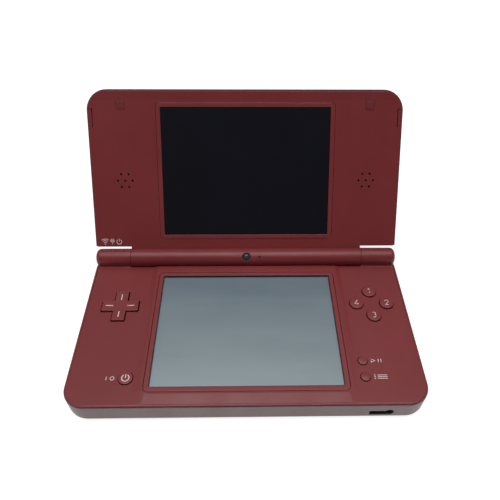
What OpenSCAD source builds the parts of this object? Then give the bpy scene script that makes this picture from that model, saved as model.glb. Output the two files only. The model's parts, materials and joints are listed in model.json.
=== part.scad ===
// Clamshell handheld game console with two screens.
// Millimetres. X to the right, Y to the back (hinge side), Z up. Z = 0 is the plane of the rubber feet and
// the origin is the centre of the lower half's footprint. The lid is drawn open.
// Lid pieces are modelled flat, in the lid's own frame: x along the hinge, s from the hinge axis towards the
// lid's free edge and n out of the lid's inner face; in_lid() sets them at their angle.

/* [Whole console] */
// Width of both halves
body_w = 161; // [150:1:175]
// Depth of the lower half
body_d = 91.4; // [88:0.2:100]
// Radius of the corners seen from above
corner_r = 10.5; // [7:0.5:12]
// Opening angle of the lid, 0 is closed
lid_open = 125; // [30:1:155]

/* [Lower half] */
// How far the rubber feet stand proud
foot_proud = 0.5; // [0.3:0.1:0.8]
// Height of the housing tub, from its underside to its parting line
tub_h = 11.1; // [10.6:0.1:13]
// Thickness of the control deck at its rim
deck_t = 1.0; // [0.8:0.1:1.6]
// Wall thickness of the tub
tub_wall = 1.6; // [1.2:0.1:2]
// Floor thickness of the tub
tub_floor = 1.3; // [1.2:0.1:1.8]
// Rounding of the tub's lower edge
tub_edge_r = 2.5; // [2:0.5:4.5]
// Height of the screen plateau above the deck
plateau_h = 0.8; // [0.4:0.1:1]
// Rim of the plateau's top round the surround frame
plateau_rim = 1.4; // [1:0.1:2]
// Width of the slope at the plateau's sides
plateau_slope = 3.0; // [1.5:0.5:4]
// Width of the slope at the plateau's front
plateau_front_slope = 4.5; // [3:0.5:5]

/* [Hinge] */
// Distance of the hinge axis from the lower half's rear edge
hinge_inset = 5.7; // [5.6:0.1:7]
// Height of the hinge axis above the deck's surface
hinge_rise = 2.2; // [1.8:0.1:2.6]
// Radius of the barrel and the knuckles
barrel_r = 4.9; // [4.7:0.1:5.2]
// Length of each end knuckle
knuckle_len = 19.0; // [18:0.1:23]
// How far each knuckle's end stands inside the casing's side
knuckle_in = 0.5; // [0.3:0.1:1]
// Wall of the barrel and the knuckles
barrel_wall = 1.3; // [1:0.1:1.4]

/* [Lid] */
// Thickness of the lid
lid_t = 7.2; // [6.8:0.1:9]
// Height of the inner face above the hinge axis
lid_face_n = 0.8; // [0.6:0.1:1.2]
// How far the closed lid reaches past the lower half's front edge
lid_overhang = 0.6; // [0:0.1:1]
// Distance from the hinge axis to the lid's lower edge
lid_start = 6.2; // [6.1:0.1:7]
// Rounding of the outer cover's edge
cover_edge_r = 3.2; // [2:0.2:3.4]
// Wall thickness of the outer cover
cover_wall = 1.5; // [1.2:0.1:1.8]
// How far the inner panel stands back from the cover's rim
rim_inset = 0.9; // [0.5:0.1:1.2]

/* [Screens] */
// Width of the deck on each side of the lower window
lower_side = 37.15; // [35:0.05:42]
// Depth of the deck in front of the lower window
lower_front = 9.2; // [9:0.1:13]
// Distance from the lower window to the hinge axis
lower_rear = 11.9; // [11:0.1:14]
// Width of the panel on each side of the upper window
upper_side = 37.15; // [35:0.05:42]
// Distance from the hinge axis to the upper window
upper_foot = 12.45; // [12:0.05:15]
// Distance from the upper window to the lid's free edge
upper_brow = 8.65; // [8:0.05:12]
// Width of both surround frames
surround_w = 2.3; // [2:0.1:2.6]
// Thickness of both surround frames
surround_t = 1.1; // [0.9:0.1:1.2]

/* [Direction pad] */
// Distance of the direction pad and the face buttons from the lower window
control_in = 19.6; // [18:0.1:20.5]
// Distance of the direction pad's centre behind the front edge
dpad_y = 54.4; // [50:0.1:56]
// Span of the cross
dpad_span = 17.9; // [17:0.1:20]
// Width of each arm
dpad_arm_w = 6.2; // [6:0.1:8]
// Height of the cross above the deck
dpad_proud = 0.8; // [0.5:0.05:0.8]

/* [Buttons] */
// Distance of the face button group's centre behind the front edge
face_y = 55.2; // [52:0.1:57]
// Distance of each face button from the group's centre
face_pitch = 7.6; // [7:0.1:8]
// Radius of a face button
face_r = 3.5; // [3:0.1:3.6]
// Height of the face buttons above the deck
face_proud = 0.95; // [0.7:0.05:1.1]
// Radius of the start and select buttons
menu_r = 2.2; // [1.8:0.1:2.4]
// Distance of the start and select buttons from the lower window
menu_in = 9.8; // [9.2:0.1:10.2]
// Distance of the start button behind the front edge
start_y = 22.0; // [21:0.1:24]
// Distance between the start and select buttons
menu_pitch = 8.3; // [7:0.1:8.6]
// Height of the start, select and power buttons above the deck
menu_proud = 0.6; // [0.4:0.05:0.8]
// Radius of the power button
power_r = 3.2; // [2.8:0.1:3.6]
// Distance of the power button from the lower window
power_in = 10.6; // [10:0.1:12]
// Distance of the power button behind the front edge
power_y = 14.0; // [13:0.1:16]
// Width of a shoulder button along the rear edge
shoulder_w = 26.5; // [24:0.5:27]
// Height of a shoulder button
shoulder_h = 5.5; // [5:0.1:5.8]
// Length of the volume rocker
rocker_len = 15.4; // [12:0.2:16]
// Height of the volume rocker
rocker_h = 3.6; // [3:0.1:4]

/* [Sockets] */
// Width of the game-card slot
card_w = 34; // [33:0.1:35]
// Height of the game-card slot
card_h = 4.4; // [4.3:0.05:4.45]
// Depth of the game-card slot
card_depth = 31; // [28:0.5:31]
// Width of the memory-card slot
memory_w = 25; // [24:0.1:26]
// Radius of the headphone socket's bore
jack_r = 1.8; // [1.75:0.05:1.9]
// Length of the headphone socket's bore
jack_len = 12.5; // [12:0.5:13]
// Radius of the stylus
stylus_r = 2.2; // [1.8:0.1:2.2]
// Length of the stylus
stylus_len = 96; // [86:1:96]

/* [Battery and feet] */
// Width of the battery pack
battery_w = 50; // [44:1:52]
// Depth of the battery pack
battery_d = 38; // [34:1:38]
// Thickness of the battery pack
battery_t = 4.4; // [4:0.1:4.5]
// Radius of a rubber foot
foot_r = 3.4; // [2.8:0.1:4]

/* [Clearances] */
// Gap between pieces that don't move against each other
seat_gap = 0.05; // [0.05:0.05:0.1]
// Gap round a piece that moves
run_gap = 0.2; // [0.15:0.05:0.25]
// Gap between the barrel and its trough
trough_gap = 0.3; // [0.25:0.05:0.4]

/* [Hidden] */
$fn = 64;
CUT = 0.5;              // overrun of a cutting tool
ARC = 5;                // segments in the profile of a rounded edge
SINK = 0.2;             // overlap of shapes that are moulded in one piece

half_w = body_w / 2;
front = -body_d / 2;
rear = body_d / 2;
tub_z = foot_proud;                         // underside of the tub
floor_z = tub_z + tub_floor;                // top of its floor
part_z = tub_z + tub_h;                     // parting line
deck_z = part_z + deck_t;                   // surface of the deck
deck_under = part_z - 0.2;                  // underside of the deck's skin
plateau_z = deck_z + plateau_h;
hinge_y = rear - hinge_inset;
hinge_z = deck_z + hinge_rise;
trough_r = barrel_r + trough_gap;
trough_shell = trough_r + 1.2;              // outside of the trough's skin
knuckle_x = half_w - knuckle_len;           // seam between knuckle and barrel
barrel_half = knuckle_x - run_gap;
bore_r = barrel_r - barrel_wall - 0.2;      // bore through the lid's barrel
lid_tilt = 180 - lid_open;

board_z = part_z - 4.7;                     // underside of the main board
board_t = 1.0;
board_top = board_z + board_t;
board_half = half_w - 6.5;
board_front = front + 6.3;
board_rear = rear - 13.2;
board_seat = 0.3;                           // gap between the board and the tub's bosses
button_base = board_top + 2.3;              // underside of every deck button
lcd_z = board_top + 0.1;
glass_z = plateau_z - surround_t - 0.1;     // top of the touch panel
glass_t = 0.95;
gasket_t = 0.4;
lcd_t = glass_z - glass_t - gasket_t - 2 * seat_gap - lcd_z;

lower_win_w = body_w - 2 * lower_side;
lower_win_d = body_d - lower_front - lower_rear - hinge_inset;
low_y = front + lower_front + lower_win_d / 2;    // middle of the lower window
low_w = lower_win_w + 2 * surround_w;       // outside of the lower surround
low_d = lower_win_d + 2 * surround_w;
plateau_x = low_w / 2 + plateau_rim;        // half width of the plateau's top
plateau_front = front + 5.8;                // ridge of the plateau
lid_len = body_d - hinge_inset + lid_overhang;
upper_win_w = body_w - 2 * upper_side;
upper_win_h = lid_len - upper_foot - upper_brow;
upper_win_s = upper_foot + upper_win_h / 2;
up_w = upper_win_w + 2 * surround_w;
up_h = upper_win_h + 2 * surround_w;

cover_n = lid_face_n - lid_t;               // outer face of the cover
panel_t = 1.4;
panel_n = lid_face_n - panel_t;             // back of the panel's skin
cover_top_n = panel_n - seat_gap;           // rim of the cover
cover_in_n = cover_n + cover_wall - 0.2;    // inside of the cover's skin
upper_lcd_n = cover_in_n + 0.5;
upper_glass_n = lid_face_n - surround_t - 0.1;
surround_r = 2.3;                           // corners of the surround frames
stack_r = surround_r - 0.2;                 // corners of the layers under the upper window
stack_gap = 0.3;                            // gap between those layers and their recess
stack_x = [-up_w / 2 + stack_gap, up_w / 2 - stack_gap];
stack_s = [upper_win_s - up_h / 2 + stack_gap, upper_win_s + up_h / 2 - stack_gap];
panel_side = half_w - rim_inset;
panel_top = lid_len - rim_inset;

band_w = 4.4;                               // rising band along the panel's free edge
band_rise = 0.45;
pad_x = half_w - 17.3;                      // rubber pads over the lid screws
pad_s = lid_len - 7.7;
pad_w = 4.4;
speaker_x = half_w - 17.8;
speaker_s = upper_foot + 28.55;
speaker_size = [9, 7];                      // half width and half height of a speaker
speaker_hole_r = 0.6;
outer_camera_p = [-half_w + 14.5, lid_len - 16];
outer_camera_r = 2.5;
notch_s = [lid_len - 18.5, lid_len - 9.3];

lip_t = 0.8;                                // locating lips of the deck and the lid's panel
boss_r = 2.1;
screw_r = 0.8;
screw_head_r = 1.5;
side_boss_x = half_w - 6.2;
front_boss_y = front + 12.2;
rear_boss_y = rear - 19.7;
mid_boss_x = lower_win_w / 2 + 7.3;
mid_boss_y = rear - 15;
boss_places = [
    [-side_boss_x, front_boss_y], [side_boss_x, front_boss_y],
    [-side_boss_x, rear_boss_y], [side_boss_x, rear_boss_y],
    [-mid_boss_x, mid_boss_y], [mid_boss_x, mid_boss_y]
];
foot_places = [for (x = [-1, 1], y = [-1, 1]) [x * (half_w - 14.5), y * (rear - 9.7)]];
foot_seat = 0.8;                            // depth of a foot's recess

battery_x = -half_w + 10.5 + battery_w / 2;       // middle of the battery pack
battery_y = -2;
battery_z = floor_z + 0.2;
battery_end = battery_x + battery_w / 2;
bay_wall = 0.8;
bay_gap = 0.2;
cover_x = [battery_x - battery_w / 2 - 3, battery_x + battery_w / 2 + 3];
cover_y = [battery_y - battery_d / 2 - 7, battery_y + battery_d / 2 + 3];
cover_plate_t = 0.75;
cover_screw_y = cover_y[0] + 3;
cover_screw_x = [battery_x - 17, battery_x + 5];
cover_boss_r = 2;
contact_w = 1.2;                            // spring contacts of the battery
contact_pitch = 4;
contact_block = [3, 12, 0.75];

card_x = battery_end + 28;                  // middle of the game-card slot
card_z = floor_z + 0.2;                     // lower side of the slot
socket_wall = 0.6;
socket_top = board_z - 0.1;
seat_depth = 4;                             // reach of the sockets' room inside the wall
card_in_y = rear - 0.2 - card_depth;        // inner end of the slot

charge_x = mid_boss_x - 8.5;
charge_z = 4.7;
charge_size = [5, 2.5];                     // half width and half height of the charging socket
charge_mouth = [4, 1.65];
charge_depth = 9;
memory_y = 1;
memory_z = 4.8;
memory_in_x = half_w - 30.5;
memory_half_h = 1.15;
flap_y = [memory_y - memory_w / 2 - 3, memory_y + memory_w / 2 + 3];
flap_z = [3.0, 7.4];
flap_t = 0.9;
flap_relief = 0.5;                          // groove under the flap that its edge folds into
jack_x = half_w - 18.1;
jack_z = 5.9;
jack_slot_x = jack_x - 8.8;                 // left end of the flat slot beside the round one
jack_slot_z = jack_z - 0.45;                 // middle of the flat slot
jack_slot_h = 1.5;                          // its half height
jack_back = front + tub_wall + jack_len + 1.1;
stylus_y = front + 18.7;
stylus_z = floor_z + 2.6;
rocker_y = 6;
rocker_z = 6.5;
rocker_pivot = [-half_w + 2.3, rocker_y];
rocker_pin_r = 0.5;
rocker_ear_z = rocker_h / 2 + 2.1;          // outer side of the two ears that hold the rocker's pin
switch_size = [2.6, 5, 2];                  // volume switch beside the board: width, half length, height
shoulder_x = half_w - shoulder_w;           // inner end of the shoulder buttons
shoulder_z = 2.6;
shoulder_wrap_y = rear - 8.7;               // front end of their wrap round the corner
shoulder_wall = 2.2;
shoulder_pin_x = shoulder_x + 3;
shoulder_pin_y = rear - 4.1;
shoulder_pin_r = 0.75;
shoulder_hub_r = 2.2;
shoulder_switch_x = half_w - 10;
shield_x = [battery_end + 11, memory_in_x - 6];   // shield can over the chips
shield_y = [stylus_y + 8, card_in_y - 5.5];
shield_h = 2.3;
shield_t = 0.3;
radio_x = -mid_boss_x + 4.5;                // left end of the wireless module
radio_y = [battery_y + battery_d / 2 + bay_gap + bay_wall + 3.5, board_rear - 1];
control_x = lower_win_w / 2 + control_in;
menu_x = lower_win_w / 2 + menu_in;
power_x = lower_win_w / 2 + power_in;
mat_t = 0.5;                                // sheet of the button mats
mat_z = board_top + 0.1;
dome_top = button_base - 0.7;
flex_x = [half_w - 14.5, half_w - 8.5];     // display flex cable
flex_t = 0.6;
light_places = [half_w - 14.2, half_w - 10.2, half_w - 5.5];  // status lights in the left knuckle
light_turn = 96;                            // turn of the lights about the hinge axis, from the front
eye_turn = -13;                             // turn of the inner camera about the barrel, from the lid's normal
seam_h = 0.5;                               // shadow seam between deck and tub: height and depth
seam_in = 0.5;
rim_in = 1.1;                               // width of the deck's rounded rim, seen from above
ledge = 0.55;                               // sloping foot in front of each knuckle
notch_in = 2.4;                             // reach of the side notches into the panel

casing = "#6e3033";
casing_dark = "#5c2022";
tub_grey = "#726666";
metal = "#b4b6ba";
dark = "#1c1c1f";

// ---- shared shapes ----

// Profile points [inset, z] of an edge rounded with radius r that starts at height z
function low_round(r, z) = [for (i = [0:ARC]) let (a = 90 * i / ARC) [r * (1 - sin(a)), z + r * (1 - cos(a))]];

// Profile points [inset, z] of an edge rounded with radius r that ends at height z
function high_round(r, z) = [for (i = [0:ARC]) let (a = 90 * i / ARC) [r * (1 - cos(a)), z - r + r * sin(a)]];

// Profile region of width w: its outer side follows the points, from the lowest to the highest
function region(w, profile) = concat(
    [[0, profile[0][1]]],
    [for (p = profile) [w - p[0], p[1]]],
    [[0, profile[len(profile) - 1][1]]]
);

// Slab with round corners seen from above. x and y are [low, high], r is [front, rear] corner radius and
// profile lists [inset, z] points up its side.
module slab(x, y, r, profile) {
    z0 = profile[0][1];
    z1 = profile[len(profile) - 1][1];
    m = max(r[0], r[1]);
    for (c = [[x[1] - r[1], y[1] - r[1], 0, r[1]], [x[0] + r[1], y[1] - r[1], 90, r[1]],
              [x[0] + r[0], y[0] + r[0], 180, r[0]], [x[1] - r[0], y[0] + r[0], 270, r[0]]])
        translate([c[0], c[1], 0]) rotate([0, 0, c[2]]) rotate_extrude(angle = 90) polygon(region(c[3], profile));
    translate([x[0] + r[0], y[0] + r[0], 0]) mirror([0, 1, 0]) rotate([90, 0, 90])
        linear_extrude(x[1] - x[0] - 2 * r[0]) polygon(region(r[0], profile));
    translate([x[0] + r[1], y[1] - r[1], 0]) rotate([90, 0, 90])
        linear_extrude(x[1] - x[0] - 2 * r[1]) polygon(region(r[1], profile));
    translate([x[0] + m, y[1] - r[1], 0]) mirror([1, 0, 0]) rotate([90, 0, 0])
        linear_extrude(y[1] - y[0] - r[0] - r[1]) polygon(region(m, profile));
    translate([x[1] - m, y[1] - r[1], 0]) rotate([90, 0, 0])
        linear_extrude(y[1] - y[0] - r[0] - r[1]) polygon(region(m, profile));
    translate([x[0] + m, y[0] + r[0], z0]) cube([x[1] - x[0] - 2 * m, y[1] - y[0] - r[0] - r[1], z1 - z0]);
}

// Straight-sided slab with one corner radius
module plate(x, y, r, z) { slab(x, y, [r, r], [[0, z[0]], [0, z[1]]]); }

// Box between two corners
module box(a, b) { translate(a) cube(b - a); }

// Upright cylinder at a place [x, y] between two heights
module post(p, r, z) { translate([p[0], p[1], z[0]]) cylinder(r = r, h = z[1] - z[0]); }

// Cylinder along X at a place [y, z]
module rod_x(p, r, x) { translate([x[0], p[0], p[1]]) rotate([0, 90, 0]) cylinder(r = r, h = x[1] - x[0]); }

// Cylinder along Y at a place [x, z]
module rod_y(p, r, y) { translate([p[0], y[1], p[1]]) rotate([90, 0, 0]) cylinder(r = r, h = y[1] - y[0]); }

// Round cap with a rounded upper edge
module cap(p, r, z, edge) {
    translate([p[0], p[1], 0]) rotate_extrude()
        polygon(region(r, concat([[0, z[0]]], high_round(edge, z[1]))));
}

// Frame with a rectangular window
module frame(x, y, r, w, z) {
    difference() {
        plate(x, y, r, z);
        plate([x[0] + w, x[1] - w], [y[0] + w, y[1] - w], 0.6, [z[0] - CUT, z[1] + CUT]);
    }
}

module both_sides() { for (s = [0, 1]) mirror([s, 0, 0]) children(); }

module in_lid() { translate([0, hinge_y, hinge_z]) rotate([lid_tilt, 0, 0]) children(); }

// ---- lower half: casing ----

// Outside of the tub, which the shoulder buttons, flap and rocker share
module tub_outline(inset = 0) {
    slab([-half_w + inset, half_w - inset], [front + inset, rear - inset], [corner_r - inset, corner_r - inset],
        concat(low_round(tub_edge_r, tub_z), [[0, part_z]]));
}

module tub_cavity() {
    chamfer = max(tub_edge_r - tub_wall, 0.4);
    difference() {
        slab([-half_w + tub_wall, half_w - tub_wall], [front + tub_wall, rear - tub_wall],
            [corner_r - tub_wall, corner_r - tub_wall],
            [[chamfer, floor_z], [0, floor_z + chamfer], [0, part_z + CUT]]);
        rod_x([hinge_y, hinge_z], trough_shell, [-half_w, half_w]);
    }
}

module shoulder_opening() {
    box([shoulder_x - 0.3, shoulder_wrap_y - 1.7, shoulder_z - run_gap],
        [half_w + CUT, rear + CUT, shoulder_z + shoulder_h + run_gap]);
}

module lower_housing() {
    color(tub_grey) difference() {
        union() {
            difference() {
                tub_outline();
                tub_cavity();
            }
            for (p = boss_places) post(p, boss_r, [floor_z - SINK, board_z - board_seat]);
            for (x = cover_screw_x) post([x, cover_screw_y], cover_boss_r, [floor_z - SINK, floor_z + 2.4]);
            both_sides() post([shoulder_pin_x, shoulder_pin_y], 1.6, [floor_z - SINK, shoulder_z - 0.25]);
            for (z = [rocker_z - rocker_ear_z, rocker_z + rocker_ear_z - 1.2])
                box([-half_w + tub_wall - 0.6, rocker_y - 1.2, z], [rocker_pivot[0] + 1, rocker_y + 1.2, z + 1.2]);
            battery_bay_walls();
            stylus_channel();
        }
        rod_x([hinge_y, hinge_z], trough_r, [-half_w - CUT, half_w + CUT]);
        box([-half_w - CUT, hinge_y, hinge_z - trough_r], [half_w + CUT, rear + CUT, part_z + CUT]);
        box([-half_w + tub_wall + 0.1, rear - 16, deck_under - seat_gap],
            [half_w - tub_wall - 0.1, rear, part_z + CUT]);
        for (p = boss_places) {
            post(p, screw_r + 0.15, [tub_z - CUT, board_z]);
            post(p, screw_head_r + run_gap, [tub_z - CUT, floor_z + SINK]);
        }
        for (p = foot_places) post(p, foot_r + 0.1, [tub_z - CUT, tub_z + foot_seat]);
        battery_cover_opening();
        both_sides() shoulder_opening();
        both_sides() post([shoulder_pin_x, shoulder_pin_y], shoulder_pin_r + seat_gap,
            [floor_z - 0.6, shoulder_z]);
        post(rocker_pivot, rocker_pin_r + 0.1, [rocker_z - rocker_ear_z + 0.3, rocker_z + rocker_ear_z - 0.3]);
        socket_openings();
        flex_slot();
    }
}

module battery_bay_walls() {
    x0 = battery_x - battery_w / 2 - bay_gap - bay_wall;
    y0 = battery_y - battery_d / 2 - bay_gap - bay_wall;
    y1 = battery_y + battery_d / 2 + bay_gap;
    x1 = battery_end;
    z = [floor_z - SINK, board_z - 2 * board_seat];
    box([x0, y0, z[0]], [x0 + bay_wall, y1 + bay_wall, z[1]]);
    box([x0, y0, z[0]], [x1, y0 + bay_wall, z[1]]);
    box([x0, y1, z[0]], [x1, y1 + bay_wall, z[1]]);
}

module stylus_channel() {
    for (side = [-1, 1])
        translate([half_w - stylus_len + 1, stylus_y + side * (stylus_r + 0.9) - bay_wall / 2, floor_z - SINK])
            cube([stylus_len - 2, bay_wall, 3]);
}

module battery_cover_opening() {
    g = 0.15;
    plate([cover_x[0] - g, cover_x[1] + g], [cover_y[0] - g, cover_y[1] + g], 2,
        [tub_z - CUT, tub_z + cover_plate_t + 0.05]);
    plate([battery_x - battery_w / 2, battery_end - 1],
        [battery_y - battery_d / 2, battery_y + battery_d / 2], 1.5, [tub_z, floor_z + CUT]);
    for (x = cover_screw_x) post([x, cover_screw_y], screw_r + 0.05, [tub_z, floor_z + 3]);
}

// Room inside the wall, where the tub's chamfer would stand in a socket's way
module socket_seats() {
    y = [front + tub_wall, rear - tub_wall];
    z = part_z - 4;
    card = card_w / 2 + socket_wall + 0.1;
    charge = charge_size[0] + 0.1;
    box([card_x - card, y[1] - seat_depth, floor_z], [card_x + card, y[1], z]);
    box([charge_x - charge, y[1] - seat_depth, floor_z], [charge_x + charge, y[1], z]);
    box([jack_slot_x - 1.3, y[0], floor_z + SINK], [jack_x + 3.8, y[0] + seat_depth, part_z - 2]);
    box([half_w - tub_wall - seat_depth, memory_y - memory_w / 2 - 1.1, floor_z + SINK],
        [half_w - tub_wall, memory_y + memory_w / 2 + 1.1, z]);
}

module socket_openings() {
    socket_seats();
    box([card_x - card_w / 2, rear - 3, card_z], [card_x + card_w / 2, rear + CUT, card_z + card_h]);
    box([charge_x - charge_mouth[0] - 0.1, rear - 3, charge_z - charge_mouth[1] - 0.1],
        [charge_x + charge_mouth[0] + 0.1, rear + CUT, charge_z + charge_mouth[1] + 0.1]);
    rod_y([jack_x, jack_z], jack_r + 0.25, [front - CUT, front + 3]);
    box([jack_slot_x, front - CUT, jack_slot_z - jack_slot_h - 0.1],
        [jack_x, front + 3, jack_slot_z + jack_slot_h + 0.1]);
    rod_x([stylus_y, stylus_z], stylus_r + 0.3, [half_w - 6, half_w + CUT]);
    box([half_w - 3, memory_y - memory_w / 2 - 0.5, memory_z - memory_half_h - 0.15],
        [half_w + CUT, memory_y + memory_w / 2 + 0.5, memory_z + memory_half_h + 0.15]);
    box([half_w - flap_t - 0.15, flap_y[0] - 0.15, flap_z[0] - 0.1],
        [half_w + CUT, flap_y[1] + 0.15, flap_z[1] + 0.15]);
    box([half_w - 0.6, flap_y[0] - 0.15, flap_z[0] - flap_relief], [half_w + CUT, flap_y[1] + 0.15, flap_z[0]]);
    box([-half_w - CUT, rocker_y - rocker_len / 2 - 0.3, rocker_z - rocker_h / 2 - run_gap],
        [-half_w + 3, rocker_y + rocker_len / 2 + 0.3, rocker_z + rocker_h / 2 + run_gap]);
}

module flex_slot() {
    box([flex_x[0] - 0.5, rear - 15.7, hinge_z - trough_shell - 0.1], [flex_x[1] + 0.5, hinge_y + 0.8, part_z]);
}

module control_deck() {
    r = corner_r - 0.3;
    color(casing) difference() {
        union() {
            slab([-half_w + 0.3, half_w - 0.3], [front + 0.3, rear - 0.3], [r, r],
                concat([[seam_in, deck_under], [seam_in, part_z + seam_h], [0, part_z + seam_h]],
                    [for (p = high_round(1, 0)) [rim_in * p[0], deck_z + (deck_t - seam_h) * p[1]]]));
            plateau();
            deck_lip();
            for (p = boss_places) post(p, boss_r, [board_z - SINK, deck_under + CUT]);
        }
        outside_rim();
        translate([0, 0, -CUT]) box([-low_w / 2 - 0.6, low_y - low_d / 2 - 0.6, board_top],
            [low_w / 2 + 0.6, low_y + low_d / 2 + 0.6, glass_z + 0.1 + CUT]);
        plate([-low_w / 2 - seat_gap, low_w / 2 + seat_gap],
            [low_y - low_d / 2 - seat_gap, low_y + low_d / 2 + seat_gap],
            surround_r + 0.1, [deck_under - 3, plateau_z + CUT]);
        for (p = boss_places) post(p, screw_r + seat_gap, [board_z - CUT, deck_under - 0.6]);
        deck_button_holes();
        deck_rear_cut();
    }
    color(casing) {
        knuckle();
        mirror([1, 0, 0]) difference() {
            knuckle();
            light_slots(run_gap / 2);
        }
    }
}

// The rim strip below the parting line belongs to the tub
module outside_rim() {
    difference() {
        box([-half_w - 1, front - 1, deck_under - CUT], [half_w + 1, rear + 1, part_z]);
        plate([-half_w + tub_wall + 0.15, half_w - tub_wall - 0.15],
            [front + tub_wall + 0.15, rear - tub_wall - 0.15], corner_r - tub_wall - 0.15,
            [deck_under - 2 * CUT, part_z + CUT]);
    }
}

module plateau() {
    hull() {
        plate([-plateau_x - plateau_slope, plateau_x + plateau_slope],
            [plateau_front - plateau_front_slope, hinge_y], 5, [deck_z - 0.3, deck_z], $fn = 32);
        plate([-plateau_x, plateau_x], [plateau_front, hinge_y], 2.8, [deck_z, plateau_z], $fn = 32);
    }
}

// Locating lip inside the tub's wall, left out where switches and sockets stand
module deck_lip() {
    z = [part_z - 1.2, deck_under + CUT];
    x = half_w - tub_wall - 0.15;
    for (s = [-1, 1])
        box([s * (half_w - 40.5) - 8, front + tub_wall + 0.15, z[0]],
            [s * (half_w - 40.5) + 8, front + tub_wall + 0.15 + lip_t, z[1]]);
    both_sides() box([x - lip_t, front + 20, z[0]], [x, front + 34, z[1]]);
}

// The deck ends at the trough of the barrel, and behind the axis of each knuckle
module deck_rear_cut() {
    rod_x([hinge_y, hinge_z], trough_r, [-knuckle_x - run_gap, knuckle_x + run_gap]);
    box([-knuckle_x - run_gap, hinge_y, board_z], [knuckle_x + run_gap, rear + CUT, plateau_z + CUT]);
    both_sides() {
        box([knuckle_x, hinge_y, deck_under - 1], [half_w + CUT, rear + CUT, plateau_z + CUT]);
        rod_x([hinge_y, hinge_z], barrel_r - 0.4, [knuckle_x, half_w + CUT]);
    }
}

module knuckle() {
    x = half_w - knuckle_in;
    y = hinge_y - barrel_r;
    difference() {
        union() {
            translate([0, hinge_y, hinge_z]) rotate([0, 90, 0]) rotate_extrude()
                polygon(concat([[0, knuckle_x], [barrel_r, knuckle_x]],
                    [for (p = high_round(2.4, x)) [barrel_r - p[0], p[1]]], [[0, x]]));
            intersection() {
                plate([knuckle_x - 6, x - 0.05], [y + 0.06, hinge_y + 3], 2.4, [deck_z - SINK, hinge_z]);
                box([knuckle_x, y - 1, deck_z - 1], [x + 1, hinge_y, hinge_z + 1]);
            }
            translate([knuckle_x, 0, 0]) rotate([90, 0, 90]) linear_extrude(x - 1.2 - knuckle_x)
                polygon([[y - ledge, deck_z - SINK], [y - ledge, deck_z], [y, deck_z + 0.5],
                    [y + SINK, deck_z + 0.5], [y + SINK, deck_z - SINK]]);
        }
        rod_x([hinge_y, hinge_z], barrel_r - barrel_wall, [knuckle_x - CUT, x - 1.8]);
        box([flex_x[0] - 0.4, hinge_y - flex_t - 0.3, hinge_z - barrel_r - CUT],
            [flex_x[1] + 0.4, hinge_y + flex_t + 0.3, hinge_z - 2.5]);
    }
}

module light_slots(g) {
    for (x = light_places)
        translate([x, hinge_y, hinge_z]) rotate([-light_turn, 0, 0])
            box([-1.1 - g, -barrel_r - 0.4, -0.6 - g], [1.1 + g, -barrel_r + barrel_wall + 0.1, 0.6 + g]);
}

module deck_button_holes() {
    z = [deck_under - CUT, plateau_z + CUT];
    dpad_cross(dpad_span / 2 + 0.45, dpad_arm_w / 2 + 0.45, z);
    for (p = face_places()) post(p, face_r + run_gap, z);
    for (p = menu_places()) post(p, menu_r + run_gap, z);
    post(power_place(), power_r + run_gap, z);
}

function face_places() = [for (d = [[0, 1], [1, 0], [0, -1], [-1, 0]])
    [control_x + d[0] * face_pitch, front + face_y + d[1] * face_pitch]];
function menu_places() = [[menu_x, front + start_y], [menu_x, front + start_y - menu_pitch]];
function power_place() = [-power_x, front + power_y];
function dpad_place() = [-control_x, front + dpad_y];

module dpad_cross(span, arm, z) {
    translate([dpad_place()[0], dpad_place()[1], 0]) for (a = [0, 90]) rotate([0, 0, a])
        plate([-span, span], [-arm, arm], 0.8, z);
}

module battery_cover() {
    color(tub_grey) difference() {
        plate(cover_x, cover_y, 1.85, [tub_z, tub_z + cover_plate_t]);
        for (x = cover_screw_x) post([x, cover_screw_y], 1.25, [tub_z - CUT, tub_z + CUT + cover_plate_t]);
    }
}

module rubber_feet() {
    color("#3a3435") for (p = foot_places)
        translate([p[0], p[1], 0]) rotate_extrude()
            polygon([[0, 0], [foot_r - 0.3, 0], [foot_r, 0.3], [foot_r, tub_z + foot_seat - seat_gap],
                [0, tub_z + foot_seat - seat_gap]]);
}

// ---- screws ----

module screw(p, z, head_r, head_h, length) {
    difference() {
        union() {
            post(p, head_r, [z, z + head_h]);
            post(p, screw_r, [z + head_h, z + length]);
        }
        for (a = [0, 90]) translate([p[0], p[1], z]) rotate([0, 0, a])
            box([-head_r * 0.6, -0.18, -CUT], [head_r * 0.6, 0.18, head_h / 2]);
    }
}

module housing_screws() {
    color(metal) for (p = boss_places) screw(p, tub_z + 0.4, screw_head_r, 0.9, part_z - tub_z - 1.4);
}

module battery_cover_screws() {
    color(metal) for (x = cover_screw_x) screw([x, cover_screw_y], tub_z + 0.05, 1.15, 0.7, 3.4);
}

// ---- lower half: screen stack ----

module lower_screen_surround() {
    color(casing) difference() {
        slab([-low_w / 2, low_w / 2], [low_y - low_d / 2, low_y + low_d / 2], [surround_r, surround_r],
            [[0, plateau_z - surround_t], [0, plateau_z - 0.25], [0.25, plateau_z]]);
        plate([-lower_win_w / 2, lower_win_w / 2], [low_y - lower_win_d / 2, low_y + lower_win_d / 2], 0.6,
            [plateau_z - 2, plateau_z + CUT]);
    }
}

module touch_panel() {
    color("#87939a") plate([-low_w / 2, low_w / 2], [low_y - low_d / 2, low_y + low_d / 2], 1,
        [glass_z - glass_t, glass_z]);
}

module lower_screen_gasket() {
    z = glass_z - glass_t - seat_gap;
    color(dark) frame([-low_w / 2, low_w / 2], [low_y - low_d / 2, low_y + low_d / 2], 1, 2, [z - gasket_t, z]);
}

module lower_lcd() {
    color(metal) plate([-low_w / 2, low_w / 2], [low_y - low_d / 2, low_y + low_d / 2], 1,
        [lcd_z, lcd_z + lcd_t]);
}

// ---- lower half: electronics ----

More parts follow.
